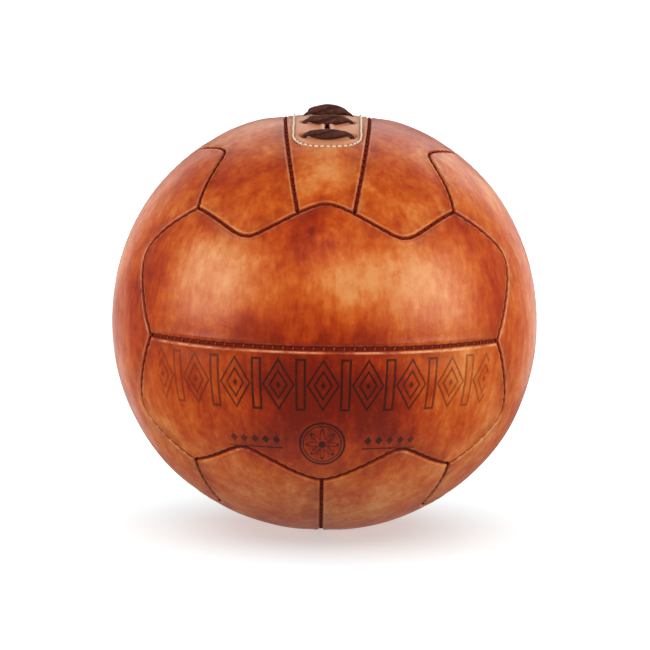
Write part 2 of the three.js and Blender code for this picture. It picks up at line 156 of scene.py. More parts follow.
EDGES = {}
for u, p, q in (("x", "y", "z"), ("z", "y", "x"), ("y", "x", "z")):
    for sp in (-1, 1):
        for sq in (-1, 1):
            e = edge_for(u, {p: sp, q: sq})
            name = edge_id(e)
            EDGES[name] = e
            joined = u == "x" and sq == 1
            ts = [-END, -JOIN, 0, JOIN, END] if joined else [-END, 0, END]
            runs = []
            for t0, t1 in zip(ts[:-1], ts[1:]):
                runs.append(((t0, t1), edge_point(e, np.linspace(t0, t1, 900))))
            add_seam(name, runs, 0.84 if "bottom" in name else 0.66 if "top" in name else 0.76)


def great(p, q, n=900):
    w = math.acos(float(np.clip(p @ q, -1, 1)))
    k = np.linspace(0, 1, n)[:, None]
    return (np.sin((1 - k) * w) * p + np.sin(k * w) * q) / math.sin(w)


for f, sf in (("y", -1), ("y", 1), ("x", -1), ("x", 1), ("z", -1)):
    d = OWN[f]
    c = [k for k in "xyz" if k not in (f, d)][0]
    a = edge_point(edge_for(c, {f: sf, d: -1}), 0)
    b = edge_point(edge_for(c, {f: sf, d: 1}), 0)
    add_seam(f"{SIDE[(f, sf)]}_middle", [(("m", 0), great(a, b))], 1.08 if f == "y" else 0.84)
for side in (-1, 1):
    lon = np.linspace(STRIP_END, -STRIP_END, 1800)
    fine = lat_lon(side * np.interp(np.abs(lon), *STRIP), lon)
    front = edge_point(edge_for("x", {"y": -1, "z": 1}), side * JOIN)
    back = edge_point(edge_for("x", {"y": 1, "z": 1}), side * JOIN)
    w = np.clip(1 - np.arange(1800) / 60, 0, 1)[:, None]
    fine = unit(fine + w * (front - fine[0]) + w[::-1] * (back - fine[-1]))
    add_seam(f"top_strip_{SIDE[('x', side)]}", [(("m", 0), fine)], 0.80, 0.95)


def run(name, t0=None, t1=None):
    """Points of a seam from t0 to t1 (or the whole of it), with the seam's name and the way along it."""
    parts = SEAMS[name]["parts"]
    if t0 is None:
        chosen = parts
        flip = False
    else:
        lo, hi = min(t0, t1), max(t0, t1)
        chosen = [p for p in parts if p[0][0] >= lo - 1e-6 and p[0][1] <= hi + 1e-6]
        flip = t0 > t1
    dirs = np.concatenate([p[1] if i == 0 else p[1][1:] for i, p in enumerate(chosen)])
    s = np.concatenate([p[2] if i == 0 else p[2][1:] for i, p in enumerate(chosen)])
    if flip:
        dirs, s = dirs[::-1], s[::-1]
    return dirs, s, name


def back_run(name):
    dirs, s, n = run(name)
    return dirs[::-1], s[::-1], n


SEAM_LIST = list(SEAMS)


def chain(*runs):
    P, S, K = [], [], []
    for dirs, s, name in runs:
        # each run gives all its points but the last, which starts the next run
        P.append(dirs[:-1]); S.append(s[:-1]); K.append(np.full(len(s) - 1, SEAM_LIST.index(name)))
    return np.concatenate(P), np.concatenate(S), np.concatenate(K)


def half_face(f, sf, sc):
    d = OWN[f]
    c = [k for k in "xyz" if k not in (f, d)][0]
    long = edge_id(edge_for(d, {f: sf, c: sc}))
    right = edge_id(edge_for(c, {f: sf, d: 1}))
    left = edge_id(edge_for(c, {f: sf, d: -1}))
    return chain(run(long, -END, END), run(right, sc * END, 0), back_run(f"{SIDE[(f, sf)]}_middle"), run(left, 0, sc * END))


def top_side(side):
    outer = edge_id(edge_for("y", {"z": 1, "x": side}))
    strip = f"top_strip_{SIDE[('x', side)]}"
    return chain(run(outer, -END, END), run("back_top", side * END, side * JOIN), back_run(strip), run("front_top", side * JOIN, side * END))


def top_strip():
    return chain(run("top_strip_right"), run("back_top", JOIN, -JOIN), back_run("top_strip_left"), run("front_top", -JOIN, JOIN))


PANELS = {
    "front_upper": half_face("y", -1, 1),
    "front_lower": half_face("y", -1, -1),
    "back_upper": half_face("y", 1, 1),
    "back_lower": half_face("y", 1, -1),
    "left_front": half_face("x", -1, -1),
    "left_back": half_face("x", -1, 1),
    "right_front": half_face("x", 1, -1),
    "right_back": half_face("x", 1, 1),
    "bottom_left": half_face("z", -1, -1),
    "bottom_right": half_face("z", -1, 1),
    "top_left": top_side(-1),
    "top_right": top_side(1),
    "top_strip": top_strip(),
}

# ------------------------------------------------------------------ surface
rng = np.random.default_rng(7)
WAVES = []
for k in range(26):
    v = unit(rng.normal(size=3))
    lam = rng.uniform(16, 52)
    WAVES.append((v * 2 * math.pi / lam, rng.uniform(0, 6.28), (lam / 52) ** 1.25))


def wobble(P):
    """Gentle unevenness of a hide stretched over air, mm, for points in mm."""
    out = np.zeros(len(P))
    for k, ph, a in WAVES:
        out += a * np.sin(P @ k + ph)
    return out / math.sqrt(len(WAVES))


def azimuth_elevation(D):
    return np.degrees(np.arctan2(D[:, 0], -D[:, 1])), np.degrees(np.arcsin(np.clip(D[:, 2], -1, 1)))


# spots that make the hide darker (+) or lighter (-): azimuth, elevation, half-widths, amount. On the front the
# listed spots copy the light and shade seen by the camera: the lighter ones are painted highlights and painted
# light from the side softboxes and from below, the darker ones are painted shade mixed with darker hide. The random
# spots further round are tone only.
TONE_AND_LIGHT_SPOTS = [
    (2, -13, 26, 16, 0.78), (-4, 3.0, 20, 4, 0.02), (-6, 34, 13, 6, 0.16), (-25, 30, 14, 5, 0.12), (24, 31, 14, 5, 0.08),
    (-27, 4, 12, 4, 0.16), (-8, 17, 6, 9, 0.10), (-31, 17, 14, 10, -0.38), (28, 17, 15, 10, -0.40), (4, 17, 12, 7, -0.34), (-6, 25, 9, 5, 0.14), (-52, 12, 5, 15, 0.14),
    (53, 10, 5, 14, 0.12), (-60, 14, 7, 18, 0.26), (66, 8, 9, 16, -0.12), (-42, 44, 17, 6, 0.34), (-20, 50, 8, 7, 0.22), (34, 46, 13, 6, 0.16),
    (30, 37, 10, 4, -0.14), (0, 50, 8, 10, -0.20), (0, 40, 9, 3, 0.20), (38, -7, 10, 12, -0.18), (-44, -8, 9, 11, 0.20), (-38, -26, 12, 9, -0.05),
    (-34, -4, 10, 6, -0.03), (34, -30, 12, 9, -0.08), (-14, -28, 16, 6, 0.22), (0, -52, 60, 12, -0.20), (-58, -24, 12, 13, -0.24), (56, -24, 12, 13, -0.22), (48, 30, 6, 5, 0.18), (45, 55, 14, 9, -0.2),
]
spot_rng = np.random.default_rng(21)
for spot_k in range(90):
    spot_az, spot_el = spot_rng.uniform(78, 282), math.degrees(math.asin(spot_rng.uniform(-0.95, 0.95)))
    TONE_AND_LIGHT_SPOTS.append((spot_az, spot_el, spot_rng.uniform(7, 22) / max(0.35, math.cos(math.radians(spot_el))), spot_rng.uniform(6, 15), spot_rng.uniform(-0.15, 0.19)))


# sum of the spots: tone, and on the front painted highlights and painted shade
def tone_and_light_spots_at(D):
    az, el = azimuth_elevation(D)
    out = np.zeros(len(D))
    for a, e, wa, we, amount in TONE_AND_LIGHT_SPOTS:
        da = (az - a + 180) % 360 - 180
        out += amount * np.exp(-(da / wa) ** 2 - ((el - e) / we) ** 2)
    return out


def dent(D):
    lat = np.degrees(np.arcsin(np.clip(D[:, 0], -1, 1)))
    lon = np.degrees(np.arctan2(-D[:, 1], D[:, 2]))
    return DENT * np.exp(-(lat / DENT_LAT) ** 2 - (lon / DENT_LON) ** 4)


def body_radius(D):
    """Radius of the inflated cover before its seams, mm."""
    q = (D ** 4).sum(1)
    top = np.exp(-((np.degrees(np.arccos(np.clip(D[:, 2], -1, 1)))) / 40) ** 4)
    squarish = (2.3 * (0.68 - q) + 0.75 * D[:, 0] ** 4) * (1 - top)
    far = np.degrees(np.arccos(np.clip(D @ unit(np.array([0.92, 0.05, -0.38])), -1, 1)))
    return R - dent(D) + squarish + 0.9 * np.exp(-(far / 24) ** 2) + 0.16 * wobble(D * R)


def at(D, h=0.0):
    return D * (R - dent(D) + h)[:, None]


def groove(d, w):
    """How far the hide rolls down at a distance d from the seam line, mm."""
    return 2.35 * np.exp(-(d / (0.74 * w)) ** 1.35)


def seam_shape(d, s, k):
    """Height of the cover against distance from the seam, with the pull of each stitch."""
    w = np.array([SEAMS[n]["width"] for n in SEAM_LIST])[k]
    pitch = np.array([SEAMS[n]["pitch"] for n in SEAM_LIST])[k]
    ph = 2 * math.pi * (s / pitch - 0.5)
    pull = (0.5 + 0.5 * np.cos(ph)) ** 2
    h = -groove(d, w)
    h += 0.30 * np.exp(-((d - 1.1 - 1.1 * w) / 1.25) ** 2)       # rolled lip
    valley = np.array([SEAMS[n]["valley"] for n in SEAM_LIST])[k]
    h -= valley * np.exp(-(d / 8.5) ** 2)                        # broad valley of the seam
    h -= 0.52 * w * pull * np.exp(-((d - 0.2 - 0.9 * w) / 0.8) ** 2)          # each stitch pulls the lip in
    h += 0.11 * np.cos(ph + 0.6 * np.sin(s * 0.37)) * np.exp(-(d / 3.8)) * np.clip((d - 0.9) / 0.8, 0, 1)
    return h


def nearest(D, loop, closed=True):
    """Distance in mm from each direction to a line of directions, and where along it."""
    n = len(loop)
    near = np.empty(len(D), int)
    for i in range(0, len(D), 4000):
        near[i:i + 4000] = (D[i:i + 4000] @ loop.T).argmax(1)
    best = np.full(len(D), 1e9)
    idx = near.copy()
    frac = np.zeros(len(D))
    for off in (-1, 0):
        i = near + off
        j = i + 1
        if closed:
            i, j = i % n, j % n
        else:
            i, j = np.clip(i, 0, n - 1), np.clip(j, 0, n - 1)
        a, b = loop[i], loop[j]
        ab = b - a
        L = (ab ** 2).sum(1)
        t = np.clip(((D - a) * ab).sum(1) / np.where(L > 0, L, 1), 0, 1)
        e = np.linalg.norm(D - a - t[:, None] * ab, axis=1) * R
        m = e < best
        best[m] = e[m]; idx[m] = i[m]; frac[m] = t[m]
    return best, idx, frac


class Chart:
    """A flat chart of the sphere round one direction, in mm (stereographic, so shapes stay true)."""

    def __init__(self, mid):
        self.m = unit(np.asarray(mid, float))
        ref = np.array([0, 0, 1.0]) if abs(self.m[2]) < 0.9 else np.array([0, 1.0, 0])
        self.x = unit(np.cross(ref, self.m))
        self.y = np.cross(self.m, self.x)

    def flat(self, D):
        k = 2 * R / (1 + D @ self.m)
        return np.stack([k * (D @ self.x), k * (D @ self.y)], 1)

    def lift(self, q):
        q = q / (2 * R)
        s = (q ** 2).sum(1)
        z = (1 - s) / (1 + s)
        return unit(z[:, None] * self.m + (1 + z)[:, None] * (q[:, :1] * self.x + q[:, 1:] * self.y))


def inside(q, poly):
    """Which points of q lie in the polygon."""
    out = np.zeros(len(q), bool)
    a, b = poly, np.roll(poly, -1, 0)
    for i in range(0, len(q), 2000):
        x, y = q[i:i + 2000, :1], q[i:i + 2000, 1:]
        up = (a[None, :, 1] > y) != (b[None, :, 1] > y)
        dy = np.where(b[:, 1] == a[:, 1], 1e-12, b[:, 1] - a[:, 1])
        xi = a[None, :, 0] + (y - a[None, :, 1]) * (b[:, 0] - a[:, 0])[None] / dy[None]
        out[i:i + 2000] = (np.sum(up & (x < xi), 1) % 2) == 1
    return out


def fibonacci(spacing):
    n = int(4 * math.pi * R * R / (spacing ** 2 * 0.87))
    i = np.arange(n) + 0.5
    z = 1 - 2 * i / n
    th = math.pi * (1 + 5 ** 0.5) * i
    r = np.sqrt(1 - z * z)
    return np.stack([r * np.cos(th), r * np.sin(th), z], 1)


COARSE = fibonacci(7.0)
MEDIUM = fibonacci(2.5)
FINE = fibonacci(0.95)
FINE = FINE[(FINE[:, 2] > 0.8) & (np.abs(FINE[:, 0]) < 0.22)]


def normals_in(loop):
    """Unit directions along the sphere that point to the left of a line, into the outline it walks round."""
    t = unit(np.roll(loop, -1, 0) - np.roll(loop, 1, 0))
    return unit(np.cross(loop, t))


def shift(loop, d):
    n = normals_in(loop)
    return unit(loop + n * (d / R))


def triangulate(chart, points, loops):
    """Triangles of the points in flat chart coordinates, with the loops (lists of indices) as fixed edges."""
    edges = []
    for l in loops:
        edges += [(l[i], l[(i + 1) % len(l)]) for i in range(len(l))]
    r = delaunay_2d_cdt([Vector((float(x), float(y))) for x, y in points], edges, [], 0, 1e-6, True)
    verts = np.array([(v[0], v[1]) for v in r[0]])
    faces = np.array([f for f in r[2]], int)
    where = np.full(len(points), -1)
    for i, o in enumerate(r[3]):
        for k in o:
            where[k] = i
    return verts, faces, where


RINGS = [(0.30, 1), (0.52, 1), (0.80, 1), (1.15, 1), (1.6, 1), (2.2, 2), (3.0, 2), (4.2, 3), (6.0, 5)]
HALF_GAP = 0.13


def sheet_mesh(chart, outline, holes, dense, lattice, rings, lattice_min):
    """Points and triangles of one face of a panel. outline and holes are lines of directions that walk round
    with the panel on their left. Returns directions, triangles, and for each loop its vertex numbers."""
    base = [outline] + holes
    pts = [chart.flat(l) for l in base]
    loops, k = [], 0
    for p in pts:
        loops.append(list(range(k, k + len(p))))
        k += len(p)
    polys = [p for p in pts]
    extra = []
    if rings:
        for j, l in enumerate(base):
            use = rings if j == 0 else [(0.3, 1), (0.7, 1), (1.2, 1)]
            for d, every in use:
                ring = shift(l, d)[::every]
                dist = np.min([nearest(ring, b)[0] for b in base], axis=0)
                extra.append(ring[dist > 0.93 * d - 0.02])
    cand = lattice[(lattice @ chart.m) > 0.35]
    q = chart.flat(cand)
    ok = inside(q, polys[0])
    for p in polys[1:]:
        ok &= ~inside(q, p)
    cand = cand[ok]
    dist = np.min([nearest(cand, b)[0] for b in base], axis=0)
    cand = cand[dist > lattice_min]
    if dense is not None:
        q = chart.flat(dense)
        ok = inside(q, polys[0])
        for p in polys[1:]:
            ok &= ~inside(q, p)
        dn = dense[ok]
        d0 = nearest(dn, base[0])[0]
        dh = np.min([nearest(dn, b)[0] for b in base[1:]], axis=0) if len(base) > 1 else d0
        dn = dn[(d0 > 3.4) & (dh > 1.5)]
        lat = np.degrees(np.arcsin(cand[:, 0])); lon = np.degrees(np.arctan2(-cand[:, 1], cand[:, 2]))
        cand = cand[np.abs(lon) > 32]
        lon = np.degrees(np.arctan2(-dn[:, 1], dn[:, 2]))
        dn = dn[np.abs(lon) < 31.5]
        cand = np.concatenate([cand, dn])
    extra.append(cand)
    every = np.concatenate(pts + [chart.flat(e) for e in extra if len(e)])
    verts, faces, where = triangulate(chart, every, loops)
    tri = verts[faces]
    mid = tri.mean(1)
    ok = inside(mid, polys[0])
    for p in polys[1:]:
        ok &= ~inside(mid, p)
    faces = faces[ok]
    # turn every triangle the same way round
    a, b, c = verts[faces[:, 0]], verts[faces[:, 1]], verts[faces[:, 2]]
    area = (b[:, 0] - a[:, 0]) * (c[:, 1] - a[:, 1]) - (b[:, 1] - a[:, 1]) * (c[:, 0] - a[:, 0])
    faces[area < 0] = faces[area < 0][:, ::-1]
    faces = faces[np.abs(area) > 1e-9]
    return chart.lift(verts), faces, [where[np.array(l)] for l in loops]


def make_object(name, V, F, attributes=None, smooth=True):
    me = bpy.data.meshes.new(name)
    me.vertices.add(len(V))
    me.vertices.foreach_set("co", np.asarray(V, np.float32).ravel())
    lens = np.array([len(f) for f in F]) if isinstance(F, list) else np.full(len(F), F.shape[1])
    flat = np.concatenate([np.asarray(f) for f in F]) if isinstance(F, list) else F.ravel()
    me.loops.add(len(flat))
    me.loops.foreach_set("vertex_index", flat.astype(np.int32))
    me.polygons.add(len(lens))
    me.polygons.foreach_set("loop_start", np.r_[0, np.cumsum(lens)[:-1]].astype(np.int32))
    me.polygons.foreach_set("loop_total", lens.astype(np.int32))
    me.update(calc_edges=True)
    me.validate()
    for key, val in (attributes or {}).items():
        val = np.asarray(val, np.float32)
        kind = "FLOAT" if val.ndim == 1 else "FLOAT_VECTOR"
        at_ = me.attributes.new(key, kind, "POINT")
        at_.data.foreach_set("value" if val.ndim == 1 else "vector", val.ravel())
    if smooth:
        me.polygons.foreach_set("use_smooth", np.ones(len(me.polygons), bool))
    ob = bpy.data.objects.new(name, me)
    SCENE.collection.objects.link(ob)
    return ob


def slit_loop():
    """The slit's edge, walked with the leather on the left."""
    y = np.linspace(-SLIT_HALF[1], SLIT_HALF[1], 500)
    lon = np.degrees(np.arcsin(y / R))
    k = np.clip(np.searchsorted(LACE_LON, lon) - 1, 0, 3)
    lo, hi = np.array(LACE_LON)[k], np.array(LACE_LON)[k + 1]
    w = 0.22 + (SLIT_HALF[0] - 0.22) * np.sin(np.pi * np.clip((lon - lo) / (hi - lo), 0, 1)) ** 0.7
    w *= np.clip((SLIT_HALF[1] - np.abs(y)) / 0.8, 0, 1) ** 0.5
    x = np.concatenate([w, -w[::-1][1:-1]])
    y = np.concatenate([y, y[::-1][1:-1]])
    # even out the spacing
    P = np.stack([x, y], 1)
    P = np.concatenate([P, P[:1]])
    d = np.r_[0, np.cumsum(np.linalg.norm(np.diff(P, axis=0), axis=1))]
    s = np.linspace(0, d[-1], 260, endpoint=False)
    P = np.stack([np.interp(s, d, P[:, 0]), np.interp(s, d, P[:, 1])], 1)
    P[:, 0] += 0.16 * np.sin(P[:, 1] * 0.31) + 0.09 * np.sin(P[:, 1] * 0.83 + 1)
    D = np.stack([P[:, 0] / R, P[:, 1] / R, np.sqrt(1 - (P ** 2).sum(1) / R / R)], 1)
    return D[::-1]


def hole_loop(lat, lon, r):
    c = lat_lon(np.array([lat]), np.array([lon]))[0]
    x = unit(np.cross([0, 1.0, 0], c))
    y = np.cross(c, x)
    a = np.linspace(0, 2 * math.pi, 22, endpoint=False)[::-1]
    return unit(c + (r / R) * (np.cos(a)[:, None] * x + np.sin(a)[:, None] * y))



def stitch_plan(step):
    """The line of the cream stitches: straight sides, and ends that bow out with wide corners; (lat, lon)."""
    hx, hy = STITCH_HALF
    side = hy - 4.6
    end = np.linspace(-1, 1, 161)
    bow = side + (hy + 2.3 - side) * (1 - np.abs(end) ** 3.1) ** (1 / 1.75)
    x = np.concatenate([np.full(80, hx), -end * hx, np.full(80, -hx), end * hx])
    y = np.concatenate([np.linspace(-side, side, 80), bow, np.linspace(side, -side, 80), -bow])
    P = np.stack([x, y], 1)
    P = P[np.r_[True, np.linalg.norm(np.diff(P, axis=0), axis=1) > 1e-6]]
    P = np.concatenate([P, P[:1]])
    d = np.r_[0, np.cumsum(np.linalg.norm(np.diff(P, axis=0), axis=1))] * math.pi / 180 * R
    n = int(round(d[-1] / step))
    s = np.linspace(0, d[-1], n, endpoint=False)
    P = np.stack([np.interp(s, d, P[:, 0]), np.interp(s, d, P[:, 1])], 1)
    return P, lat_lon(P[:, 0], P[:, 1])


_, STITCH_LINE = stitch_plan(0.5)
SLIT = slit_loop()
HOLES = [hole_loop(lat, lon, 1.45) for lon in LACE_LON for lat in HOLE_LAT]
panel_objects = {}
# strength of the pale lip by seam: rubbed wear plus a painted highlight, weaker on the bottom seams
lip_of = np.array([0.20 if "bottom" in n else 0.38 for n in SEAM_LIST])
seam_frames = {}

for number, (pname, (P, S, K)) in enumerate(PANELS.items()):
    mid = unit(P.mean(0))
    chart = Chart(mid)
    poly = chart.flat(P)
    area = 0.5 * np.sum(poly[:, 0] * np.roll(poly[:, 1], -1) - np.roll(poly[:, 0], -1) * poly[:, 1])
    if area < 0:
        P, S, K = P[::-1], S[::-1], K[::-1]
    line, way, kind = P, S, K
    outline = shift(P, HALF_GAP)
    strip = pname == "top_strip"
    holes = ([SLIT] + HOLES) if strip else []
    D, F, loops = sheet_mesh(chart, outline, holes, FINE if strip else None, MEDIUM, RINGS, 8.0)
    d, idx, frac = nearest(D, line)
    nxt = (idx + 1) % len(line)
    same = kind[idx] == kind[nxt]
    s = np.where(same, way[idx] + frac * (way[nxt] - way[idx]), way[idx])
    h = seam_shape(d, s, kind[idx])
    width = 0.35 + 0.60 * np.array([SEAMS[n]["width"] for n in SEAM_LIST])[kind[idx]]
    raw = np.zeros(len(D))
    thread_pull = np.zeros(len(D))
    pale = np.zeros(len(D))
    if strip:
        ds = nearest(D, SLIT)[0]
        h += 0.75 * np.exp(-((ds - 0.9) / 1.25) ** 2)
        dh = np.min([nearest(D, l)[0] for l in HOLES], axis=0)
        h -= 0.75 * np.exp(-(dh / 1.3) ** 2)
        la = np.degrees(np.arcsin(D[:, 0])); lo = np.degrees(np.arctan2(-D[:, 1], D[:, 2]))
        row_end = 1 / (1 + np.exp((np.abs(lo) - 25.5) / 0.9))
        h -= 0.75 * np.exp(-(la / 4.6) ** 2) * row_end
        for lace_lon, deep in zip(LACE_LON, (1.25, 1.35, 0.1, 1.35, 1.25)):
            bed = np.exp(-((lo - lace_lon * 1.03) / 2.0) ** 4)
            h -= deep * np.exp(-(la / 4.3) ** 2) * bed
            h -= 0.9 * np.exp(-((ds - 0.9) / 1.25) ** 2) * bed
        h = np.where(d > 3.0, np.maximum(h, -2.2), h)
        dt = nearest(D, STITCH_LINE)[0]
        h -= 0.34 * np.exp(-(dt / 0.85) ** 2)
        h += 0.10 * np.exp(-((dt - 1.8) / 0.9) ** 2)
        raw = np.exp(-((ds - 0.80) / 0.72) ** 2)
        inside_line = inside(np.stack([np.degrees(np.arcsin(D[:, 0])), np.degrees(np.arctan2(-D[:, 1], D[:, 2]))], 1), stitch_plan(2.0)[0])
        pale = np.where(inside_line, 1.0, 0.0)
        thread_pull = np.maximum(np.exp(-(dt / 1.3) ** 2), np.exp(-(dh / 1.8) ** 2))
    rad = body_radius(D) + h
    V = D * rad[:, None]
    # inner face: coarser, from the same outline
    Di, Fi, iloops = sheet_mesh(chart, outline, holes, None, COARSE, None, 5.0)
    ri = R - dent(Di) - LEATHER + (body_radius(Di) - (R - dent(Di))) * 0.6
    ri = np.minimum(ri, R - dent(Di) - LEATHER + 0.3)
    Vi = Di * ri[:, None]
    n0 = len(V)
    faces = [F, Fi[:, ::-1] + n0]
    for o, i in zip(loops, iloops):
        o2, i2 = np.roll(o, -1), np.roll(i, -1)
        faces.append(np.stack([o, i + n0, i2 + n0], 1))
        faces.append(np.stack([o, i2 + n0, o2], 1))
    T = np.concatenate(faces)
    allV = np.concatenate([V, Vi]) / 1000
    gco = allV + rng.uniform(-1, 1, 3)
    attributes = {
        "seam": np.r_[d / width, np.full(len(Vi), 0.0)],
        "along": np.r_[s, np.zeros(len(Vi))],
        "raw": np.r_[raw, np.ones(len(Vi)) * (1.0 if strip else 0.4)],
        "pull": np.r_[thread_pull, np.zeros(len(Vi))],
        "gco": gco,
        # spots of tone, and on the front painted highlights and painted shade
        "spot_tone_and_light": np.r_[tone_and_light_spots_at(D), np.zeros(len(Vi))],
        "pale": np.r_[pale, np.zeros(len(Vi))],
        # the front middle seam's lower lip, which faces up to the lights, gets a strong painted highlight and its
        # upper lip almost none
        "lip_wear_and_highlight": np.r_[np.where(kind[idx] == SEAM_LIST.index("front_middle"), np.where(D[:, 2] < 0, 0.86, 0.06), lip_of[kind[idx]]), np.zeros(len(Vi))],
        "tint": np.full(len(allV), rng.uniform(0, 1)),
    }
    ob = make_object(f"leather_{pname}", allV, T, attributes)
    panel_objects[pname] = ob
    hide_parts(f"panel_{pname}")

# ------------------------------------------------------------------ sweeps


def sweep(points, radii, sides, up, flutes=0, twist=0.0, depth=0.0, phase=0.0, cap=True, squash=None):
    """A closed bar through points (mm). With flutes its section has strands that wind along it."""
    n = len(points)
    T = np.empty_like(points)
    T[1:-1] = points[2:] - points[:-2]
    T[0], T[-1] = points[1] - points[0], points[-1] - points[-2]
    T = unit(T)
    N = np.empty_like(points)
    if callable(up):
        U = up(points)
        N = unit(U - (U * T).sum(1, keepdims=True) * T)
    else:
        prev = np.asarray(up, float)
        for i in range(n):
            v = prev - (prev @ T[i]) * T[i]
            N[i] = v / np.linalg.norm(v)
            prev = N[i]
    B = np.cross(T, N)
    dist = np.r_[0, np.cumsum(np.linalg.norm(np.diff(points, axis=0), axis=1))]
    a = np.linspace(0, 2 * math.pi, sides, endpoint=False)
    V = np.empty((n, sides, 3))
    for i in range(n):
        r = radii[i] * np.ones(sides)
        if flutes:
            r = r * (1 - depth * (0.5 - 0.5 * np.cos(flutes * a + twist * dist[i] + phase)) ** 2)
        sx, sy = (1, 1) if squash is None else squash
        V[i] = points[i] + (r * np.cos(a) * sx)[:, None] * N[i] + (r * np.sin(a) * sy)[:, None] * B[i]
    V = V.reshape(-1, 3)
    i, j = np.meshgrid(np.arange(n - 1), np.arange(sides), indexing="ij")
    j2 = (j + 1) % sides
    quads = np.stack([i * sides + j, i * sides + j2, (i + 1) * sides + j2, (i + 1) * sides + j], -1).reshape(-1, 4)
    F = np.concatenate([quads[:, [0, 1, 2]], quads[:, [0, 2, 3]]])
    c0, c1 = len(V), len(V) + 1
    V = np.concatenate([V, points[:1] - T[:1] * radii[0] * 0.45, points[-1:] + T[-1:] * radii[-1] * 0.45])
    j = np.arange(sides)
    F = np.concatenate([F, np.stack([np.full(sides, c0), (j + 1) % sides, j], 1), np.stack([np.full(sides, c1), (n - 1) * sides + j, (n - 1) * sides + (j + 1) % sides], 1)])
    return V, F


def outward(points):
    return unit(points)


def join(parts):
    V, F, k = [], [], 0
    for v, f in parts:
        V.append(v); F.append(f + k); k += len(v)
    return np.concatenate(V), np.concatenate(F)


def catmull(P, sub):
    P = np.asarray(P, float)
    Q = np.concatenate([2 * P[:1] - P[1:2], P, 2 * P[-1:] - P[-2:-1]])
    out = []
    t = np.linspace(0, 1, sub, endpoint=False)[:, None]
    for i in range(1, len(Q) - 2):
        p0, p1, p2, p3 = Q[i - 1], Q[i], Q[i + 1], Q[i + 2]
        out.append(0.5 * (2 * p1 + (p2 - p0) * t + (2 * p0 - 5 * p1 + 4 * p2 - p3) * t ** 2 + (3 * p1 - p0 - 3 * p2 + p3) * t ** 3))
    out.append(P[-1:])
    return np.concatenate(out)


# ------------------------------------------------------------------ seam threads
for name in SEAM_LIST:
    seam = SEAMS[name]
    D = np.concatenate([p[1] if i == 0 else p[1][1:] for i, p in enumerate(seam["parts"])])
    s = np.concatenate([p[2] if i == 0 else p[2][1:] for i, p in enumerate(seam["parts"])])
    L = seam["length"]
    w = seam["width"]
    parts, lit = [], []
    # the thread that runs along the bottom of the groove
    m = (s > 1.4) & (s < L - 1.4)
    Dm = D[m][::2]
    deep, thick = (1.98, 0.58) if w > 1 else (1.62 + 0.9 * (seam["valley"] - 0.42), 0.72 * w)
    base = Dm * (body_radius(Dm) - deep)[:, None]
    v, f = sweep(base, np.full(len(base), thick), 9, outward, flutes=2, twist=2.6, depth=0.25)
    parts.append((v, f)); lit.append(np.full(len(v), 0.0 if w > 1 else -1.0))
    # the stitches that cross it
    for i in range(seam["count"]):
        sc = (i + 0.5) * seam["pitch"]
        if sc < 2.0 or sc > L - 2.0:
            continue
        c = unit(np.array([np.interp(sc, s, D[:, k]) for k in range(3)]))
        c2 = unit(np.array([np.interp(sc + 0.5, s, D[:, k]) for k in range(3)]))
        t = unit(c2 - c)
        across = unit(np.cross(c, t))
        u = np.linspace(-1, 1, 9)
        lean = rng.uniform(0.16, 0.34)
        half = 0.98 * w + rng.uniform(-0.08, 0.06)
        dirs = unit(c + np.outer(u * half / R, across) + np.outer(u * half * lean / R, t))
        rr = body_radius(c[None])[0] - 0.42 - 0.95 * w - 1.05 * np.abs(u) ** 2.4 + 0.15
        pts = dirs * rr[:, None]
        v, f = sweep(pts, 0.37 * (1 - 0.35 * np.abs(u) ** 3) * rng.uniform(0.9, 1.12), 8, outward, flutes=2, twist=3.0, depth=0.2, phase=rng.uniform(0, 6))
        parts.append((v, f)); lit.append(np.full(len(v), 1.0 if name == "front_middle" else 0.10))
    V, F = join(parts)
    ob = make_object(f"stitching_{name}", V / 1000, F, {"lit": np.concatenate(lit)})
    seam_frames[name] = ob
    cad = f"seam_{name}"
    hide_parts(cad)

# ------------------------------------------------------------------ lace
ctrl, rads = [], []


def lp(lat, lon, h, r):
    ctrl.append(at(lat_lon(np.array([lat]), np.array([lon])), np.array([h]))[0])
    rads.append(r)


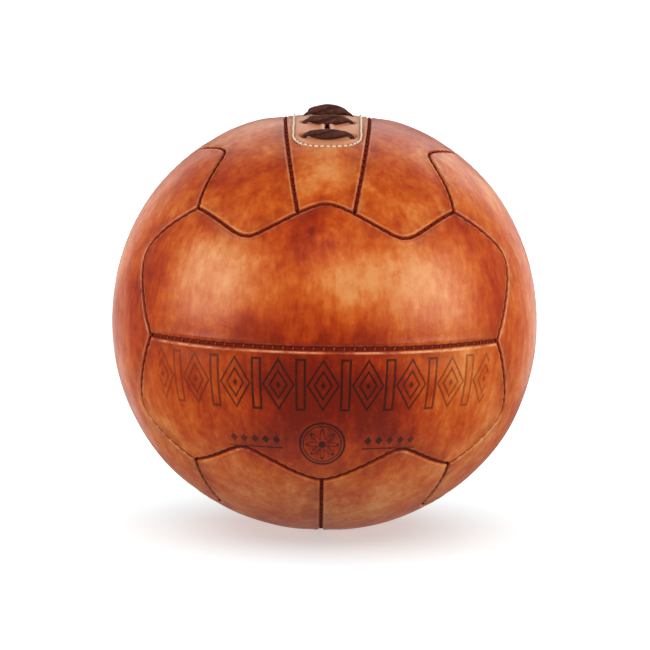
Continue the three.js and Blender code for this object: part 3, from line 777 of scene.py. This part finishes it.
for k, lon in enumerate(LACE_LON):
    j = [(-0.35, 0.2, 0.02), (0.3, -0.15, -0.06), (0.0, 0.25, 0.05), (-0.25, -0.3, -0.03), (0.3, 0.15, 0.04)][k]
    if k == 0:
        lp(-1.2, lon, LACE_UNDER, 1.0); lp(-3.2, lon, LACE_UNDER, 1.1); lp(-5.5, lon, LACE_UNDER + 0.15, 1.1)
    lp(-6.78, [-21, -10.5, 0, 10.5, 21][k], LACE_UNDER + 1.2, 1.1)
    lp(-6.9, [-21, -10.5, 0, 10.5, 21][k], LACE_UNDER + 2.5, 1.0)
    lp(HOLE_LAT[0] - 0.15, lon, -2.6, 1.0)
    lp(HOLE_LAT[0] - 0.02, lon, -1.0, 0.95)
    bow = [-0.7, -0.8, 0.15, 0.8, 0.7][k]
    mid_h = [0.75, 0.60, 2.25, 0.60, 0.75][k]
    fat = [2.70, 2.80, 3.00, 2.85, 2.70][k]
    lp(HOLE_LAT[0] + 0.30, lon, -0.05, 0.66)
    lp(HOLE_LAT[0] + 1.15, lon + 0.2 * bow, 0.46 + 0.08 * mid_h, 1.10)
    lp(-4.3, lon + 0.5 * bow + 0.2 * j[0], 0.62 + 0.40 * mid_h, 0.66 * fat + j[2])
    lp(-2.3, lon + 0.85 * bow + 0.4 * j[0], 0.30 + 0.80 * mid_h, 0.89 * fat + j[2])
    lp(0.0, lon + bow + 0.5 * j[1], mid_h, fat + j[2])
    lp(2.3, lon + 0.85 * bow + 0.4 * j[1], 0.30 + 0.80 * mid_h, 0.90 * fat - j[2])
    lp(4.3, lon + 0.5 * bow + 0.2 * j[1], 0.62 + 0.40 * mid_h, 0.67 * fat - j[2])
    lp(HOLE_LAT[1] - 1.15, lon + 0.2 * bow, 0.46 + 0.08 * mid_h, 1.10)
    lp(HOLE_LAT[1] - 0.30, lon, -0.05, 0.66)
    lp(HOLE_LAT[1] + 0.02, lon, -1.0, 0.95)
    lp(HOLE_LAT[1], lon, -2.6, 1.0)
    lp(6.9, [-21, -10.5, 0, 10.5, 21][k], LACE_UNDER + 2.5, 1.0)
    lp(6.78, [-21, -10.5, 0, 10.5, 21][k], LACE_UNDER + 1.2, 1.1)
    if k < len(LACE_LON) - 1:
        step = LACE_LON[k + 1] - lon
        for fr in (0.09, 0.35, 0.65, 0.91):
            lp(HOLE_LAT[1] + (HOLE_LAT[0] - HOLE_LAT[1]) * fr, lon + step * fr, LACE_UNDER + (0.1 if fr in (0.09, 0.91) else 0), 1.1)
    else:
        lp(5.5, lon, LACE_UNDER + 0.15, 1.1); lp(3.2, lon, LACE_UNDER, 1.1); lp(1.2, lon, LACE_UNDER, 1.0)
path = catmull(ctrl, 9)
radii = catmull(np.array(rads)[:, None], 9)[:, 0]
V, F = sweep(path, radii, 30, [0, 0, 1.0], flutes=3, twist=0.42, depth=0.17)
nrm = unit(V - np.repeat(np.concatenate([path, path[:1], path[-1:]]), [30] * len(path) + [1, 1], axis=0))
fuzz = 0.055 * np.sin(V @ np.array([5.1, 3.3, 4.2])) + 0.05 * np.sin(V @ np.array([-7.0, 6.1, 2.2]) + 1) + 0.04 * np.sin(V @ np.array([2.0, -9.0, 8.0]))
V = V + nrm * fuzz[:, None]
dist = np.r_[0, np.cumsum(np.linalg.norm(np.diff(path, axis=0), axis=1))]
run_len = np.concatenate([np.repeat(dist, 30), [0, dist[-1]]])
ang = np.concatenate([np.tile(np.linspace(0, 1, 30, endpoint=False), len(path)), [0, 0]])
lace = make_object("lace_cord", V / 1000, F, {"run": run_len, "around": ang})
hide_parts("lace")

# ------------------------------------------------------------------ cream stitches round the lacing
plan, _ = stitch_plan(3.0)
parts = []
n = len(plan)
for i in range(n):
    a = plan[i]
    b = plan[(i + 1) % n]
    if np.linalg.norm(b - a) > 6:
        continue
    mid = (a + b) / 2
    dr = b - a
    L = np.linalg.norm(dr) * math.pi / 180 * R
    dr = dr / np.linalg.norm(dr)
    side = np.array([-dr[1], dr[0]])
    half = (L * 0.5 - (0.62 if abs(mid[1]) > 23.5 else 0.42)) * rng.uniform(0.88, 1.06)
    wob = rng.uniform(-0.16, 0.16)
    skew = rng.uniform(-0.12, 0.12)
    u = np.linspace(-1, 1, 11)
    q = mid + np.outer(u * half, dr) * 180 / math.pi / R + np.outer(wob + skew * u, side) * 180 / math.pi / R
    dirs = lat_lon(q[:, 0], q[:, 1])
    hh = 0.0 - 0.80 * np.abs(u) ** 2.8
    pts = dirs * (body_radius(dirs) + hh)[:, None]
    v, f = sweep(pts, 0.46 * (1 - 0.25 * np.abs(u) ** 3), 10, outward, flutes=2, twist=2.6, depth=0.2, phase=rng.uniform(0, 6))
    parts.append((v, f))
V, F = join(parts)
cream = make_object("cream_stitches", V / 1000, F)
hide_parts("facing_stitch")

# ------------------------------------------------------------------ materials


class Tree:
    """Short-hand for building a node material."""

    def __init__(self, name):
        self.m = bpy.data.materials.new(name)
        self.m.use_nodes = True
        self.t = self.m.node_tree
        self.t.nodes.clear()
        self.out = self.t.nodes.new("ShaderNodeOutputMaterial")
        self.bsdf = self.t.nodes.new("ShaderNodeBsdfPrincipled")
        self.t.links.new(self.bsdf.outputs[0], self.out.inputs[0])

    def new(self, kind, **props):
        n = self.t.nodes.new(kind)
        for k, v in props.items():
            setattr(n, k, v)
        return n

    def put(self, socket, value):
        if isinstance(value, bpy.types.NodeSocket):
            self.t.links.new(value, socket)
        elif value is not None:
            if isinstance(value, tuple) and len(value) == 3 and socket.type == "RGBA":
                value = value + (1.0,)
            socket.default_value = value

    def math(self, op, a, b=None, c=None, clamp=False):
        n = self.new("ShaderNodeMath", operation=op, use_clamp=clamp)
        for i, v in enumerate((a, b, c)):
            if v is not None:
                self.put(n.inputs[i], v)
        return n.outputs[0]

    def attr(self, name, kind="Fac"):
        return self.new("ShaderNodeAttribute", attribute_name=name).outputs[kind]

    def noise(self, co, scale, detail=4.0, rough=0.55, dist=0.0, kind="FBM"):
        n = self.new("ShaderNodeTexNoise", noise_dimensions="3D", noise_type=kind)
        self.put(n.inputs["Vector"], co)
        self.put(n.inputs["Scale"], scale); self.put(n.inputs["Detail"], detail)
        self.put(n.inputs["Roughness"], rough); self.put(n.inputs["Distortion"], dist)
        return n.outputs[0]

    def voronoi(self, co, scale, feature="F1", rand=1.0, out="Distance"):
        n = self.new("ShaderNodeTexVoronoi", feature=feature)
        self.put(n.inputs["Vector"], co); self.put(n.inputs["Scale"], scale); self.put(n.inputs["Randomness"], rand)
        return n.outputs[out]

    def range(self, v, a, b, c=0.0, d=1.0, soft=True):
        n = self.new("ShaderNodeMapRange", interpolation_type="SMOOTHSTEP" if soft else "LINEAR", clamp=True)
        for i, x in enumerate((v, a, b, c, d)):
            self.put(n.inputs[i], x)
        return n.outputs[0]

    def mix(self, f, a, b, blend="MIX"):
        n = self.new("ShaderNodeMix", data_type="RGBA", blend_type=blend)
        self.put(n.inputs[0], f); self.put(n.inputs[6], a); self.put(n.inputs[7], b)
        return n.outputs[2]

    def scaled(self, co, s):
        n = self.new("ShaderNodeVectorMath", operation="MULTIPLY")
        self.put(n.inputs[0], co); n.inputs[1].default_value = s
        return n.outputs[0]

    def bump(self, height, strength, distance, normal=None):
        n = self.new("ShaderNodeBump")
        n.inputs["Strength"].default_value = strength
        n.inputs["Distance"].default_value = distance
        self.put(n.inputs["Height"], height)
        if normal is not None:
            self.put(n.inputs["Normal"], normal)
        return n.outputs[0]

    def set(self, **kw):
        for k, v in kw.items():
            self.put(self.bsdf.inputs[k.replace("_", " ")], v)


def ornament(t, co):
    """Coverage of the plain printed ornament on the front lower panel, 0 to 1.
    u runs round the ball and v up it, both in mm from the middle of the front."""
    sep = t.new("ShaderNodeSeparateXYZ")
    t.put(sep.inputs[0], co)
    x, y, z = sep.outputs
    u = t.math("MULTIPLY", t.math("ARCTAN2", x, t.math("MULTIPLY", y, -1.0)), R)
    rho = t.math("SQRT", t.math("ADD", t.math("MULTIPLY", x, x), t.math("MULTIPLY", y, y)))
    v = t.math("MULTIPLY", t.math("ARCTAN2", z, rho), R)

    def sub(a, b): return t.math("SUBTRACT", a, b)
    def absv(a): return t.math("ABSOLUTE", a)
    def less(a, lim, soft=0.16): return t.range(a, lim + soft, lim - soft)
    def both(a, b): return t.math("MULTIPLY", a, b)
    def either(*a):
        r = a[0]
        for b in a[1:]:
            r = t.math("MAXIMUM", r, b)
        return r

    vc = -18.3                       # middle of the band
    dv = absv(sub(v, vc))
    W = 22.6                         # one lozenge and one pair of bars
    cell = sub(t.math("MODULO", t.math("ADD", u, W * 10.5), W), W / 2)
    p = absv(cell)
    loz = t.math("ADD", t.math("DIVIDE", p, 8.4), t.math("DIVIDE", dv, 13.6))
    ring = less(absv(sub(loz, 0.93)), 0.070, 0.025)
    ring2 = less(absv(sub(loz, 0.52)), 0.070, 0.025)
    dot = less(loz, 0.15, 0.03)
    edge = absv(sub(p, W / 2 - 0.0))
    bar = both(less(absv(sub(edge, 2.1)), 0.62, 0.16), less(dv, 13.4))
    barcap = both(less(edge, 2.6, 0.16), less(absv(sub(dv, 12.8)), 0.62, 0.16))
    band = both(either(ring, ring2, dot, bar, barcap), less(absv(u), 4 * W + 2.6, 0.1))

    # a round rosette below, with a row of small lozenges on each side of it
    dw = sub(v, -50.6)
    rad = t.math("SQRT", t.math("ADD", t.math("MULTIPLY", u, u), t.math("MULTIPLY", dw, dw)))
    ang = t.math("ARCTAN2", dw, u)
    petals = t.math("ADD", 5.9, t.math("MULTIPLY", 2.7, t.math("COSINE", t.math("MULTIPLY", ang, 8.0))))
    rosette = either(less(absv(sub(rad, 12.2)), 0.60, 0.16), less(absv(sub(rad, 10.5)), 0.30, 0.14), less(absv(sub(rad, petals)), 0.62, 0.18), less(rad, 2.0))
    au = absv(u)
    step = 6.2
    q = absv(sub(t.math("MODULO", sub(au, 22.0), step), step / 2))
    small = t.math("ADD", t.math("DIVIDE", q, 2.5), t.math("DIVIDE", absv(sub(v, -48.6)), 2.9))
    row = both(less(small, 0.86, 0.10), both(less(sub(0.0, au), -22.0, 0.05), less(au, 22.0 + 5 * step, 0.05)))
    line = both(less(absv(sub(v, -53.4)), 0.42, 0.14), less(absv(sub(au, 22.0 + 2.5 * step)), 2.5 * step))
    bars = either(row, line)
    return either(band, rosette, bars), u


def leather(name, printed=False, light=0.0):
    t = Tree(name)
    co = t.attr("gco", "Vector")
    seam = t.attr("seam")
    along = t.attr("along")
    tint = t.attr("tint")
    spot_tone_and_light = t.attr("spot_tone_and_light")
    big = t.noise(co, 17.0, 3.0, 0.5, 0.2)
    streaky = t.noise(t.scaled(co, (1.0, 1.0, 0.3)), 90.0, 4.0, 0.6, 0.15)
    patch = t.noise(co, 52.0, 4.0, 0.62, 0.35)
    speck = t.noise(co, 170.0, 4.0, 0.6, 0.2)
    brushed = t.noise(t.scaled(co, (1.0, 1.0, 0.22)), 340.0, 4.0, 0.62, 0.1)
    fine = t.noise(co, 420.0, 5.0, 0.65)
    grain = t.noise(co, 1500.0, 3.0, 0.6)
    # ramp input, 0 light, 1 dark: noise tone plus the listed spots, which on the front are painted highlights and
    # painted shade mixed with darker hide
    b = t.math("MULTIPLY", t.math("SUBTRACT", big, 0.5), 0.62)
    b = t.math("ADD", b, t.math("MULTIPLY", t.math("SUBTRACT", patch, 0.5), 0.48))
    b = t.math("ADD", b, t.math("MULTIPLY", t.math("SUBTRACT", streaky, 0.5), 0.56))
    b = t.math("ADD", b, t.math("MULTIPLY", t.math("SUBTRACT", brushed, 0.5), 0.50))
    b = t.math("ADD", b, t.math("MULTIPLY", t.math("SUBTRACT", speck, 0.5), 0.46))
    b = t.math("ADD", b, t.math("MULTIPLY", t.math("SUBTRACT", tint, 0.5), 0.10))
    b = t.math("ADD", t.math("ADD", b, spot_tone_and_light), 0.42 - light, clamp=True)
    ramp = t.new("ShaderNodeValToRGB")
    ramp.color_ramp.interpolation = "B_SPLINE"
    e = ramp.color_ramp.elements
    e[0].position, e[0].color = 0.0, (0.74, 0.300, 0.098, 1)
    e[1].position, e[1].color = 1.0, (0.155, 0.0045, 0.0003, 1)
    for pos, c in ((0.25, (0.63, 0.140, 0.0140)), (0.5, (0.50, 0.056, 0.0022)), (0.75, (0.330, 0.0180, 0.0006))):
        n = e.new(pos); n.color = c + (1,)
    t.put(ramp.inputs[0], b)
    col = ramp.outputs[0]
    # small darker flecks and pores
    fleck = t.range(fine, 0.60, 0.74)
    col = t.mix(t.math("MULTIPLY", fleck, 0.30), col, (0.20, 0.030, 0.006))
    bright = t.range(fine, 0.44, 0.28)
    col = t.mix(t.math("MULTIPLY", bright, 0.07), col, (0.70, 0.26, 0.07))
    # a few dark scuffs drawn out along the hide
    scuff = t.noise(t.scaled(co, (1.0, 1.0, 0.22)), 210.0, 3.0, 0.7, 2.0)
    scuff = t.math("MULTIPLY", t.range(scuff, 0.66, 0.74), t.range(patch, 0.46, 0.60))
    col = t.mix(t.math("MULTIPLY", scuff, 0.38), col, (0.10, 0.017, 0.005))
    # darker in patches within about 13 mm of the seams; the rolled lip is paler, partly rubbed wear and partly a
    # painted highlight, strongest on the upward-facing lower lip of the front middle seam; the groove is dark
    near = t.range(seam, 13.0, 1.5)
    near = t.math("MULTIPLY", near, t.range(patch, 0.32, 0.68))
    col = t.mix(t.math("MULTIPLY", near, 0.42), col, (0.175, 0.0130, 0.0014))
    # the lip's paleness: rubbed wear plus a painted highlight
    lip_wear_and_highlight = t.math("MULTIPLY", t.range(seam, 1.25, 1.65), t.range(seam, 2.8, 1.85))
    lip_wear_and_highlight = t.math("MULTIPLY", lip_wear_and_highlight, t.range(t.noise(co, 70.0, 4.0, 0.6), 0.36, 0.60, 0.12, 1.0))
    col = t.mix(t.math("MULTIPLY", lip_wear_and_highlight, t.attr("lip_wear_and_highlight")), col, (0.82, 0.34, 0.15))
    deep = t.range(seam, 1.38, 0.66)
    col = t.mix(t.math("MULTIPLY", deep, 0.93), col, (0.170, 0.0070, 0.0012))
    col = t.mix(t.math("MULTIPLY", t.attr("pale"), 0.62), col, (0.76, 0.33, 0.17))
    raw = t.attr("raw")
    col = t.mix(t.math("MULTIPLY", raw, 0.88), col, (0.90, 0.52, 0.34))
    pull = t.attr("pull")
    col = t.mix(t.math("MULTIPLY", pull, 0.42), col, (0.20, 0.052, 0.016))
    rough = t.range(t.math("ADD", t.math("MULTIPLY", patch, 0.5), t.math("MULTIPLY", fine, 0.5)), 0.30, 0.72, 0.31, 0.46)
    rough = t.math("ADD", rough, t.math("MULTIPLY", t.math("MAXIMUM", deep, raw), 0.30), clamp=True)
    if printed:
        geo = t.new("ShaderNodeTexCoord")
        ink, u = ornament(t, geo.outputs["Object"])
        worn = t.noise(co, 560.0, 5.0, 0.7)
        cover = t.range(worn, 0.70, 0.50, 0.62, 1.0)
        au = t.math("ABSOLUTE", u)
        fade = t.range(au, 28.0, 92.0, 1.0, 0.58)
        ink = t.math("MULTIPLY", t.math("MULTIPLY", ink, cover), fade)
        hue = t.mix(t.range(au, 22.0, 85.0), (0.034, 0.0030, 0.0010), (0.115, 0.0170, 0.0050))
        col = t.mix(ink, col, hue)
        rough = t.math("ADD", rough, t.math("MULTIPLY", ink, 0.10), clamp=True)
    t.set(Base_Color=col, Roughness=rough)
    t.bsdf.inputs["IOR"].default_value = 1.48
    t.bsdf.inputs["Specular IOR Level"].default_value = 0.31
    t.bsdf.inputs["Specular Tint"].default_value = (1.0, 0.81, 0.60, 1.0)
    t.bsdf.inputs["Coat Weight"].default_value = 0.10
    t.bsdf.inputs["Coat Roughness"].default_value = 0.30
    t.bsdf.inputs["Sheen Weight"].default_value = 0.02
    t.bsdf.inputs["Sheen Roughness"].default_value = 0.45
    # grain: small cells, creases and pores
    cells = t.voronoi(co, 820.0, "F1")
    crease = t.voronoi(co, 360.0, "DISTANCE_TO_EDGE")
    crease = t.range(crease, 0.0, 0.10)
    wrinkle = t.noise(co, 130.0, 4.0, 0.6, 1.0)
    hgt = t.math("ADD", t.math("MULTIPLY", cells, 0.42), t.math("MULTIPLY", grain, 0.40))
    hgt = t.math("ADD", hgt, t.math("MULTIPLY", crease, 0.06))
    n1 = t.bump(wrinkle, 0.22, 0.0010)
    n2 = t.bump(hgt, 0.20, 0.00028, n1)
    t.set(Normal=n2)
    return t.m


def cord(name, base, high, scale, rough, kind):
    t = Tree(name)
    geo = t.new("ShaderNodeTexCoord")
    co = geo.outputs["Object"]
    n1 = t.noise(co, scale, 5.0, 0.65, 0.4)
    n2 = t.noise(co, scale * 5, 3.0, 0.6)
    f = t.range(t.math("ADD", t.math("MULTIPLY", n1, 0.6), t.math("MULTIPLY", n2, 0.4)), 0.36, 0.66)
    col = t.mix(f, base, high)
    if kind == "lace":
        around = t.attr("around")
        runv = t.attr("run")
        ph = t.math("ADD", t.math("MULTIPLY", around, 2 * math.pi * 3), t.math("MULTIPLY", runv, 0.42))
        # painted shade: the valleys between the three twisted strands are darkened
        valley = t.range(t.math("COSINE", ph), -0.2, -1.0)
        col = t.mix(t.math("MULTIPLY", valley, 0.75), col, (0.014, 0.0035, 0.0020))
        fibre = t.new("ShaderNodeCombineXYZ")
        t.put(fibre.inputs[0], t.math("MULTIPLY", runv, 0.22))
        t.put(fibre.inputs[1], t.math("ADD", t.math("MULTIPLY", around, 6.0), t.math("MULTIPLY", runv, 0.4)))
        fib = t.noise(fibre.outputs[0], 5.0, 4.0, 0.7)
        col = t.mix(t.range(fib, 0.55, 0.72), col, high)
        n2 = t.math("ADD", t.math("MULTIPLY", n2, 0.5), t.math("MULTIPLY", fib, 0.8))
    if kind == "seam":
        lit = t.attr("lit")
        col = t.mix(t.math("MULTIPLY", t.range(lit, 0.0, -1.0), 0.85), col, (0.160, 0.0080, 0.0016))
        lit = t.math("MAXIMUM", lit, 0.0)
        col = t.mix(t.math("MULTIPLY", lit, t.range(n1, 0.35, 0.6, 0.55, 1.0)), col, (0.33, 0.075, 0.030))
    t.set(Base_Color=col, Roughness=t.range(n1, 0.3, 0.7, rough - 0.1, rough + 0.1))
    t.bsdf.inputs["Specular IOR Level"].default_value = 0.16
    t.bsdf.inputs["Sheen Weight"].default_value = 0.06
    t.bsdf.inputs["Sheen Roughness"].default_value = 0.5
    t.set(Normal=t.bump(n2, 0.5, 0.0003))
    return t.m


def inner_hide(name, a, b, c, scale):
    """The rough flesh side of the hide."""
    t = Tree(name)
    co = t.new("ShaderNodeTexCoord").outputs["Object"]
    n1 = t.noise(co, scale, 5.0, 0.65, 0.8)
    n2 = t.noise(co, scale * 9, 5.0, 0.75)
    fib = t.noise(t.scaled(co, (1.0, 0.25, 1.0)), scale * 14, 4.0, 0.7, 0.6)
    col = t.mix(t.range(n1, 0.32, 0.68), a, b)
    col = t.mix(t.math("MULTIPLY", t.range(fib, 0.5, 0.7), 0.5), col, c)
    t.set(Base_Color=col, Roughness=t.range(n2, 0.3, 0.7, 0.72, 0.92))
    t.bsdf.inputs["Sheen Weight"].default_value = 0.3
    t.bsdf.inputs["Sheen Roughness"].default_value = 0.6
    h = t.math("ADD", t.math("MULTIPLY", n2, 0.6), t.math("MULTIPLY", fib, 0.6))
    t.set(Normal=t.bump(h, 0.6, 0.0005))
    return t.m


def rubber(name):
    t = Tree(name)
    co = t.new("ShaderNodeTexCoord").outputs["Object"]
    n1 = t.noise(co, 24.0, 4.0, 0.6, 0.5)
    n2 = t.noise(co, 700.0, 4.0, 0.6)
    bloom = t.range(t.noise(co, 60.0, 5.0, 0.7, 1.0), 0.52, 0.72)
    col = t.mix(t.range(n1, 0.3, 0.7), (0.30, 0.040, 0.022), (0.19, 0.026, 0.016))
    col = t.mix(t.math("MULTIPLY", bloom, 0.35), col, (0.42, 0.20, 0.16))
    t.set(Base_Color=col, Roughness=t.range(n1, 0.3, 0.7, 0.48, 0.7), Normal=t.bump(n2, 0.25, 0.0003))
    return t.m


# the cover leather carries painted highlights and painted shade from the listed spots and the seam lips
mat_cover = leather("cover_leather_with_painted_light")
mat_print = leather("cover_leather_with_painted_light_printed", printed=True)
mat_strip = leather("centre_strip_leather", light=0.10)
mat_seam = cord("waxed_seam_thread", (0.140, 0.0056, 0.0010), (0.200, 0.0150, 0.0030), 900.0, 0.7, "seam")
mat_cream = cord("cream_linen_thread", (0.78, 0.60, 0.38), (0.97, 0.88, 0.68), 1100.0, 0.75, "cream")
mat_lace = cord("dark_twisted_lace", (0.038, 0.0085, 0.0040), (0.140, 0.038, 0.019), 480.0, 0.66, "lace")
mat_tie = cord("undyed_tie_cord", (0.50, 0.40, 0.26), (0.70, 0.60, 0.42), 1200.0, 0.8, "tie")
mat_facing = inner_hide("facing_hide", (0.40, 0.19, 0.085), (0.27, 0.11, 0.045), (0.52, 0.30, 0.16), 60.0)
mat_tongue = inner_hide("tongue_hide", (0.42, 0.135, 0.060), (0.27, 0.080, 0.036), (0.50, 0.22, 0.12), 50.0)
mat_rubber = rubber("red_bladder_rubber")


def wear(ob, mat):
    ob.data.materials.clear()
    ob.data.materials.append(mat)
    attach(ob, "root")


for pname, ob in panel_objects.items():
    if pname == "top_strip":
        wear(ob, mat_strip)
    else:
        wear(ob, mat_print if pname == "front_lower" else mat_cover)
for ob in seam_frames.values():
    wear(ob, mat_seam)
wear(lace, mat_lace)
wear(cream, mat_cream)
for node, mat in (("lace_facing", mat_facing), ("tongue", mat_tongue), ("bladder", mat_rubber), ("bladder_neck_tie", mat_tie)):
    o = NODES[node]
    if not o.material_slots:
        o.data.materials.append(mat)
    for sl in o.material_slots:
        sl.material = mat

# ------------------------------------------------------------------ stage, light, camera
low = min((ob.matrix_world @ v.co).z for ob in (panel_objects["bottom_left"], panel_objects["bottom_right"]) for v in ob.data.vertices)
V = np.array([(x, y, low) for y in (-14.0, 14.0) for x in (-14.0, 14.0)])
floor = make_object("pale_floor", V, np.array([[0, 1, 3, 2]]), smooth=False)
ft = Tree("pale_floor")
ft.set(Base_Color=(0.84, 0.915, 0.925), Roughness=0.9)
ft.bsdf.inputs["Specular IOR Level"].default_value = 0.0
ft.bsdf.inputs["Emission Color"].default_value = (0.915, 0.985, 1, 1)
ft.bsdf.inputs["Emission Strength"].default_value = 0.48
under = ft.new("ShaderNodeNewGeometry")
clear = ft.new("ShaderNodeBsdfTransparent")
choose = ft.new("ShaderNodeMixShader")
ft.put(choose.inputs[0], under.outputs["Backfacing"])
ft.t.links.new(ft.bsdf.outputs[0], choose.inputs[1])
ft.t.links.new(clear.outputs[0], choose.inputs[2])
ft.t.links.new(choose.outputs[0], ft.out.inputs[0])
floor.data.materials.append(ft.m)

world = bpy.data.worlds.new("studio")
SCENE.world = world
world.use_nodes = True
wn = world.node_tree
wn.nodes.clear()
wout = wn.nodes.new("ShaderNodeOutputWorld")
seen = wn.nodes.new("ShaderNodeLightPath")
white, room, blend = wn.nodes.new("ShaderNodeBackground"), wn.nodes.new("ShaderNodeBackground"), wn.nodes.new("ShaderNodeMixShader")
white.inputs[0].default_value, white.inputs[1].default_value = (1, 1, 1, 1), 1.0
room.inputs[0].default_value, room.inputs[1].default_value = (1, 1, 1, 1), 0.26
wn.links.new(seen.outputs["Is Camera Ray"], blend.inputs[0])
wn.links.new(room.outputs[0], blend.inputs[1])
wn.links.new(white.outputs[0], blend.inputs[2])
wn.links.new(blend.outputs[0], wout.inputs[0])


def area(name, loc, size, power, target=(0, 0, 0), color=(1, 1, 1)):
    l = bpy.data.lights.new(name, "AREA")
    l.shape = "RECTANGLE"
    l.size, l.size_y = size
    l.energy = power
    l.color = color
    o = bpy.data.objects.new(name, l)
    o.location = loc
    d = Vector(target) - Vector(loc)
    o.rotation_euler = d.to_track_quat("-Z", "Y").to_euler()
    SCENE.collection.objects.link(o)
    return o


boxes = [
    area("softbox_left", (-1.26, -0.66, 0.40), (0.85, 0.85), 16.5),
    area("softbox_right", (1.24, -0.72, 0.40), (0.90, 0.85), 18.5),
    area("softbox_behind", (0.15, 1.25, 0.95), (1.7, 0.8), 6.0),
    area("rim_left", (-0.82, 1.55, 0.0), (0.6, 1.4), 3.9, color=(1.0, 0.87, 0.78)),
    area("rim_right", (0.86, 1.50, 0.25), (0.6, 1.5), 4.2, color=(1.0, 0.87, 0.78)),
    area("fill", (0.1, -1.5, 1.2), (0.9, 0.5), 3.0),
    area("bounce_low", (0.0, -0.15, -0.9), (1.8, 1.2), 3.0, color=(1.0, 0.93, 0.88)),
]
sky = bpy.data.lights.new("floor_light", "SUN")
sky.energy = 2.2
sky.angle = math.radians(110)
sky_ob = bpy.data.objects.new("floor_light", sky)
sky_ob.location = (0, 0, 2)
SCENE.collection.objects.link(sky_ob)

# the softboxes leave the floor alone, and the floor's own light leaves the ball alone
plain = bpy.data.collections.new("floor_only")
plain.objects.link(floor)
spared = bpy.data.collections.new("all_but_floor")
spared.objects.link(floor)
spared.collection_objects[0].light_linking.link_state = "EXCLUDE"
sky_ob.light_linking.receiver_collection = plain
for o in boxes:
    o.light_linking.receiver_collection = spared
floor.visible_glossy = False
floor.visible_diffuse = False
floor.visible_shadow = False

# camera at the fitted viewing angle: 7.8 degrees above, turned a little
rv = np.radians([7.7933, 0.9387, -0.0294])
th = np.linalg.norm(rv)
k = rv / th
Kx = np.array([[0, -k[2], k[1]], [k[2], 0, -k[0]], [-k[1], k[0], 0]])
ROT = np.eye(3) + math.sin(th) * Kx + (1 - math.cos(th)) * (Kx @ Kx)
right, ahead, upv = ROT[0], ROT[1], ROT[2]
DIST = 15.724 * R / 1000
cam = bpy.data.cameras.new("camera")
cam.sensor_fit = "HORIZONTAL"
cam.sensor_width = 36.0
focal_px = 212.2 * math.sqrt(15.724 ** 2 - 1)
cam.lens = focal_px / 650 * 36.0
cam.shift_x = (325 - 324.2) / 650
cam.shift_y = -(325 - 319.1) / 650
cam.clip_start, cam.clip_end = 0.05, 60
co_ = bpy.data.objects.new("camera", cam)
M = Matrix.Identity(4)
loc = -DIST * ahead
for r in range(3):
    M[r][0], M[r][1], M[r][2], M[r][3] = right[r], upv[r], -ahead[r], loc[r]
co_.matrix_world = M
SCENE.collection.objects.link(co_)
SCENE.camera = co_
SCENE.view_settings.view_transform = "Standard"
SCENE.view_settings.look = "None"

bpy.context.view_layer.update()
